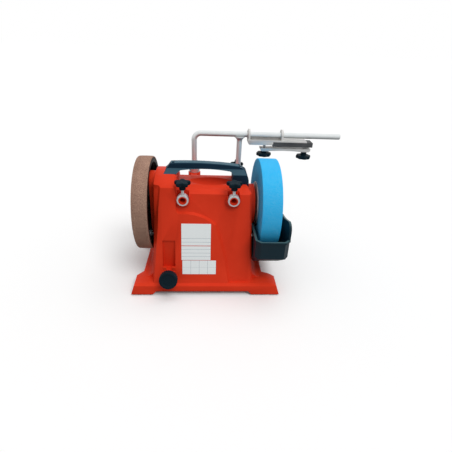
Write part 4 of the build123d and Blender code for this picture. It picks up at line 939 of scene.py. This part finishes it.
@dataclass
class Knobs:
    """Star knobs on the sleeves, round knobs on the jig and the fluted torque knob."""

    pole: float = 0.05
    hub_r: float = 6.5
    bore_r: float = 3.05
    star_r: float = 16.5
    star_waist: float = 10.8
    star_t: float = 8.0
    star_hub: float = 9.0
    star_bore: float = 12.0
    star_shoulder: float = 0.5
    star_dish: float = 0.6
    star_edges: tuple[float, ...] = (0.0, 0.3, 0.3, 0.8, 1.5, 2.2, 2.8, 2.0, 0.0)
    lobes: int = 5
    lobe_power: float = 0.8
    front_xs: tuple[float, float] = (-48.1, 53.4)
    front_yz: tuple[float, float] = (-63.5, 221.0)
    rear_yz: tuple[float, float] = (100.0, 214.0)
    round_r: float = 17.0
    round_t: float = 8.0
    round_bore: float = 2.0
    round_shoulder: float = 1.0
    round_dish: float = 0.5
    round_rim: float = 4.0
    round_edges: tuple[float, ...] = (0.0, 0.3, 0.3, 0.6, 0.8, 2.4, 2.4, 2.0, 0.0)
    round_hubs: tuple[float, float] = (9.0, 13.0)
    round_top_z: float = 263.1
    scallops: int = 8
    scallop: float = 0.05
    torque_r: float = 18.8
    torque_t: float = 14.0
    torque_dish: float = 1.2
    torque_dish_r: float = 12.0
    torque_lip_r: float = 14.2
    torque_neck: float = 9.0
    torque_neck_r: float = 9.0
    torque_bore_r: float = 4.05
    torque_edges: tuple[float, ...] = (0.0, 1.0, 1.0, 2.4, 1.0, 0.8, 0.5, 0.3, 0.3, 0.0)
    torque_face: tuple[float, float, float] = (-77.0, -128.0, 47.0)
    flutes: int = 24
    flute: float = 0.03
    flute_from: float = 15.0

    def star(self, node: str, lathe: Lathe) -> bpy.types.Object:
        """Turn a lobed knob on a hub.

        Beyond the hub its radius goes over to waist + (r - waist) * ((1 + cos 5a) / 2)^0.8.

        Args:
            node: The CAD node that it stands for.
            lathe: Its axis, from the foot of the hub.

        Returns:
            The knob, riding on the node's body.
        """
        top = self.star_hub + self.star_t
        corners = [
            (self.star_bore, self.pole), (self.star_bore, self.bore_r), (0.0, self.bore_r), (0.0, self.hub_r),
            (self.star_hub, self.hub_r), (self.star_hub, self.star_r),
            (top - self.star_shoulder, self.star_r), (top, self.hub_r), (top - self.star_dish, self.pole),
        ]
        profile = rounded(corners, self.star_edges)

        def wave(angle: np.ndarray, radius: np.ndarray) -> np.ndarray:
            """Return the lobes' factor on the radius."""
            lobe = ((1 + np.cos(self.lobes * angle)) / 2) ** self.lobe_power
            shape = (self.star_waist + (self.star_r - self.star_waist) * lobe) / self.star_r
            return 1 + eased(radius, self.hub_r, self.star_waist) * (shape - 1)

        return finished(surface(node + "_grip", lathe.turn(profile, wave)), node, Finish.BLACK)

    def round_knob(self, node: str, x: float, hub_len: float) -> bpy.types.Object:
        """Turn a scalloped clamp knob under the jig: r * (1 - 0.05 * (1 - cos 8a)) at its rim.

        Args:
            node: The CAD node that it stands for.
            x: Where its stud stands.
            hub_len: From the top of the hub to the middle of the rim.

        Returns:
            The knob, riding on the node's body.
        """
        deep, low, high = hub_len + self.round_bore, hub_len + self.round_t / 2, hub_len - self.round_t / 2
        corners = [
            (deep, self.pole), (deep, self.bore_r), (0.0, self.bore_r), (0.0, self.hub_r), (high, self.hub_r),
            (high, self.round_r), (low - self.round_shoulder, self.round_r), (low, self.hub_r),
            (low - self.round_dish, self.pole),
        ]
        profile = rounded(corners, self.round_edges)

        def wave(angle: np.ndarray, radius: np.ndarray) -> np.ndarray:
            """Return the scallops' factor on the radius."""
            rim = eased(radius, self.hub_r + self.round_rim, self.round_r)
            return 1 - self.scallop * (1 - np.cos(self.scallops * angle)) * rim

        lathe = Lathe((x, BAR_Y, self.round_top_z), (0.0, 0.0, -1.0), (1.0, 0.0, 0.0))
        return finished(surface(node + "_grip", lathe.turn(profile, wave)), node, Finish.BLACK)

    def torque(self) -> bpy.types.Object:
        """Turn the torque knob with a dished face and shallow flutes: r * (1 - 0.03 * (1 - cos 24a) / 2)."""
        back, neck = self.torque_t, self.torque_t + self.torque_neck
        corners = [
            (self.torque_dish, self.pole), (self.torque_dish, self.torque_dish_r), (0.0, self.torque_lip_r),
            (0.0, self.torque_r), (back, self.torque_r), (back, self.torque_neck_r),
            (neck, self.torque_neck_r), (neck, self.torque_bore_r), (back / 2, self.torque_bore_r),
            (back / 2, self.pole),
        ]
        profile = rounded(corners, self.torque_edges)

        def wave(angle: np.ndarray, radius: np.ndarray) -> np.ndarray:
            """Return the flutes' factor on the radius."""
            rim = eased(radius, self.flute_from, self.torque_r)
            return 1 - self.flute * (1 - np.cos(self.flutes * angle)) / 2 * rim

        axis = (0.0, math.cos(LEAN), -math.sin(LEAN))
        lathe = Lathe(self.torque_face, axis, (1.0, 0.0, 0.0), columns=240)
        return finished(surface("torque_knob_grip", lathe.turn(profile, wave)), "torque_knob", Finish.BLACK)

    def build(self) -> list[bpy.types.Object]:
        """Make all seven knobs."""
        made = []
        hands = ("left", "right")
        for hand, front_x, rear_x in zip(hands, self.front_xs, LEG_XS):
            front = Lathe((front_x, *self.front_yz), (0.0, 0.0, 1.0), (0.0, 1.0, 0.0))
            rear = Lathe((rear_x, *self.rear_yz), (0.0, 1.0, 0.0), (0.0, 0.0, 1.0))
            made += [self.star(f"front_star_knob_{hand}", front), self.star(f"rear_star_knob_{hand}", rear)]
        for hand, x, hub_len in zip(hands, JIG_STUD_XS, self.round_hubs):
            made.append(self.round_knob(f"jig_knob_{hand}", x, hub_len))
        return made + [self.torque()]


@dataclass
class Threads:
    """Clamp screws with a cut thread of one millimetre a turn."""

    stud_r: float = 3.0
    depth: float = 0.5
    pitch: float = 1.0
    tip: float = 0.8
    steps: int = 8
    columns: int = 40
    bolts: dict[str, int] = field(default_factory=lambda: {
        "front_stud_left": 2, "front_stud_right": 2, "rear_stud_left": 1, "rear_stud_right": 1,
    })

    def rod(self, node: str, axis: int, x: Optional[float] = None) -> Sheet:
        """Cut the thread of a rod.

        Args:
            node: The CAD node that holds it.
            axis: Number of the axis that the rod lies along.
            x: Where it stands, if the node has more rods than one.

        Returns:
            The screw.
        """
        corners = corners_of(frame["nodes"][node].data)
        if x is not None:
            corners = corners[np.abs(corners[:, 0] - x) < 2 * self.stud_r]
        low, high = corners.min(axis=0), corners.max(axis=0)
        foot = (low + high) / 2
        foot[axis] = low[axis]
        return self.screw(foot, axis, high[axis] - low[axis])

    def screw(self, foot: np.ndarray, axis: int, length: float) -> Sheet:
        """Cut a thread into a rod.

        The radius is r - depth * |2 f - 1|, with f the fraction of s / pitch - a / 2 pi at s along the rod.

        Args:
            foot: Middle of the rod's lower end, in millimetres.
            axis: Number of the axis that the rod lies along.
            length: Its length.

        Returns:
            The screw, with a small bevel at both ends.
        """
        along = np.linspace(0.0, length, int(length / self.pitch * self.steps) + 1)[:, None]
        angle = np.linspace(0.0, 2 * math.pi, self.columns, endpoint=False)[None, :]
        part = np.mod(along / self.pitch - angle / (2 * math.pi), 1.0)
        radius = self.stud_r - self.depth * np.abs(2 * part - 1)
        end = np.minimum(along, length - along)
        radius = np.minimum(radius, self.stud_r - self.tip + end)
        points = np.empty((*radius.shape, 3))
        first, second = [n for n in range(3) if n != axis]
        points[..., axis] = foot[axis] + along
        points[..., first] = foot[first] + radius * np.cos(angle)
        points[..., second] = foot[second] + radius * np.sin(angle)
        return Sheet(points * MM)

    def build(self) -> list[bpy.types.Object]:
        """Make the four sleeve screws and the pair in the jig."""
        made = [
            finished(surface(node + "_thread", self.rod(node, axis)), node, Finish.STEEL)
            for node, axis in self.bolts.items()
        ]
        pair = surface("jig_studs_thread", *(self.rod("jig_studs", 2, x) for x in JIG_STUD_XS))
        return made + [finished(pair, "jig_studs", Finish.STEEL)]


@dataclass
class SoftEdges:
    """CAD pieces that keep their shape and get small rounds, in millimetres."""

    rounds: dict[str, tuple[Finish, float]] = field(default_factory=lambda: {
        "housing": (Finish.RED, 1.6), "handle": (Finish.GRIP, 1.4), "water_trough": (Finish.PETROL, 0.9),
        "jig_bracket": (Finish.JIG, 0.6), "jig_jaw": (Finish.JAW, 0.0), "jig_clamp_bar": (Finish.JIG, 1.2),
        "jig_bushes": (Finish.JIG, 0.3), "honing_drum": (Finish.DRUM, 0.8), "main_shaft": (Finish.STEEL, 0.8),
        "stone_flange_inner": (Finish.ALLOY, 0.4), "stone_flange_outer": (Finish.ALLOY, 0.4),
        "stone_nut": (Finish.STEEL, 0.6), "honing_nut": (Finish.STEEL, 0.6),
        "honing_washer": (Finish.STEEL, 0.3),
        "front_collar_left": (Finish.RING, 0.0), "front_collar_right": (Finish.RING, 0.0),
        "rear_collar_left": (Finish.RING, 0.0), "rear_collar_right": (Finish.RING, 0.0),
        "torque_rod": (Finish.STEEL, 0.3), "cable_gland": (Finish.BLACK, 0.0),
        "switch_body": (Finish.BLACK, 0.5), "power_rocker": (Finish.SIGNAL, 0.4),
        "rubber_feet": (Finish.RUBBER, 0.0),
        "base_plate": (Finish.ENAMEL, 0.3), "handle_screws": (Finish.STEEL, 0.3),
    })

    def build(self) -> list[bpy.types.Object]:
        """Make each rounded copy and dress it."""
        return [softened(node, finish, width) for node, (finish, width) in self.rounds.items()]


class PlainFinishes:
    """Finishes of the inner CAD nodes, which stay as they are."""

    table: Mapping[Finish, tuple[str, ...]] = {
        Finish.BLACK: ("cooling_fan",),
        Finish.STEEL: ("friction_spindle", "rotor", "trough_pegs", "pivot_pin", "base_screws"),
        Finish.RUBBER: ("drive_ring",),
        Finish.ALLOY: ("motor_bell_left", "motor_bell_right", "capacitor"),
        Finish.BRONZE: ("shaft_bush_left", "shaft_bush_right"),
        Finish.ENAMEL: ("motor_stator", "motor_cradle", "pivot_bracket", "capacitor_clip"),
    }

    def build(self) -> None:
        """Dress every node of the table."""
        for finish, nodes in self.table.items():
            for node in nodes:
                dress(frame["nodes"][node], finish)


@dataclass
class Studio:
    """Floor, lamps, world and camera. Places are in millimetres, turns in degrees and the floor in metres."""

    eye: tuple[float, float, float] = (-1.23, -664.88, 468.64)
    yaw: float = 3.925
    pitch: float = 28.541
    roll: float = 2.538
    focal_px: float = 330.07
    frame_px: float = 452.0
    sensor: float = 36.0
    ambient: float = 0.42
    floor_span: float = 40.0
    floor_white: float = 0.99
    floor_shine: float = 0.55
    floor_bounce: float = 0.25
    key_from: tuple[float, float, float] = (0.30, -0.50, 0.81)
    key_level: float = 0.43
    key_spread: float = 30.0
    top_from: tuple[float, float, float] = (0.10, 0.20, 0.97)
    top_level: float = 0.26
    top_spread: float = 50.0

    def camera(self) -> bpy.types.Object:
        """Place the camera: forward from yaw and pitch, then right and up turned by the roll."""
        yaw, pitch, roll = (math.radians(a) for a in (self.yaw, self.pitch, self.roll))
        ahead = Vector((math.sin(yaw) * math.cos(pitch), math.cos(yaw) * math.cos(pitch), -math.sin(pitch)))
        right = Vector((math.cos(yaw), -math.sin(yaw), 0.0))
        up = right.cross(ahead)
        side = right * math.cos(roll) + up * math.sin(roll)
        top = up * math.cos(roll) - right * math.sin(roll)
        data = bpy.data.cameras.new("viewpoint")
        data.sensor_width = self.sensor
        data.lens = self.focal_px / self.frame_px * self.sensor
        data.clip_start, data.clip_end = 0.01, 50.0
        eye = bpy.data.objects.new("viewpoint", data)
        turn = Matrix((side, top, -ahead)).transposed()
        eye.matrix_world = Matrix.Translation(Vector(self.eye) * MM) @ turn.to_4x4()
        bpy.context.scene.collection.objects.link(eye)
        bpy.context.scene.camera = eye
        return eye

    def floor(self) -> bpy.types.Object:
        """Lay a large pale floor at bench height: a square of two by two points."""
        span = self.floor_span
        corners = [(-span, -span, 0), (span, -span, 0), (span, span, 0), (-span, span, 0)]
        mesh = bpy.data.meshes.new("floor")
        mesh.from_pydata(corners, [], [(0, 1, 2, 3)])
        piece = bpy.data.objects.new("floor", mesh)
        bpy.context.scene.collection.objects.link(piece)
        g = Graph.named("pale_floor")
        seen = g.out("ShaderNodeLightPath", {}, {}, "Is Camera Ray")
        glossy = g.out("ShaderNodeLightPath", {}, {}, "Is Glossy Ray")
        plain = g.mix(glossy, (self.floor_bounce,) * 3, (self.floor_shine,) * 3)
        base = g.mix(seen, plain, (self.floor_white,) * 3)
        mesh.materials.append(g.surface({"Base Color": base, "Roughness": 0.9, "Specular IOR Level": 0.0}))
        return piece

    def sun(
        self, name: str, towards: tuple[float, float, float], level: float, spread: float
    ) -> bpy.types.Object:
        """Hang a soft light that is even over the whole floor and that bright steel does not mirror.

        Args:
            name: The light's name.
            towards: Direction from the object to the light.
            level: How white it makes a white sheet that faces it.
            spread: How wide the source looks, in degrees.

        Returns:
            The light.
        """
        data = bpy.data.lights.new(name, "SUN")
        data.energy = level * math.pi
        data.angle = math.radians(spread)
        piece = bpy.data.objects.new(name, data)
        piece.matrix_world = Vector(towards).to_track_quat("Z", "Y").to_matrix().to_4x4()
        piece.visible_glossy = False
        bpy.context.scene.collection.objects.link(piece)
        return piece

    def sky(self) -> None:
        """Light the room evenly, and show plain white to the eye and to mirrors and glass."""
        world = bpy.data.worlds.new("room")
        bpy.context.scene.world = world
        g = Graph(world)
        path = g.node("ShaderNodeLightPath", {}, {})
        rays = ("Is Camera Ray", "Is Glossy Ray", "Is Transmission Ray")
        eye, mirror, glass = (Wire(g, path.outputs[ray]) for ray in rays)
        white = g.math("MAXIMUM", g.math("MAXIMUM", eye, mirror), glass)
        level = self.ambient + white * (1.0 - self.ambient)
        light = g.out("ShaderNodeBackground", {}, {"Color": (1.0, 1.0, 1.0, 1.0), "Strength": level})
        g.node("ShaderNodeOutputWorld", {}, {"Surface": light})

    def build(self) -> None:
        """Set the whole studio up."""
        bpy.context.scene.view_settings.view_transform = "Standard"
        self.camera()
        self.floor()
        self.sky()
        self.sun("key", self.key_from, self.key_level, self.key_spread)
        self.sun("top", self.top_from, self.top_level, self.top_spread)


def main() -> None:
    """Build every piece in order, then note the sizes."""
    logging.basicConfig(level=logging.INFO)
    PlainFinishes().build()
    for group in (SoftEdges(), Wheels(), SupportBar(), Knobs(), Threads(), DataPlates()):
        for piece in group.build():
            LOG.info("%s: %d faces", piece.name, len(piece.data.polygons))
    Studio().build()


if __name__ == "__main__":
    main()
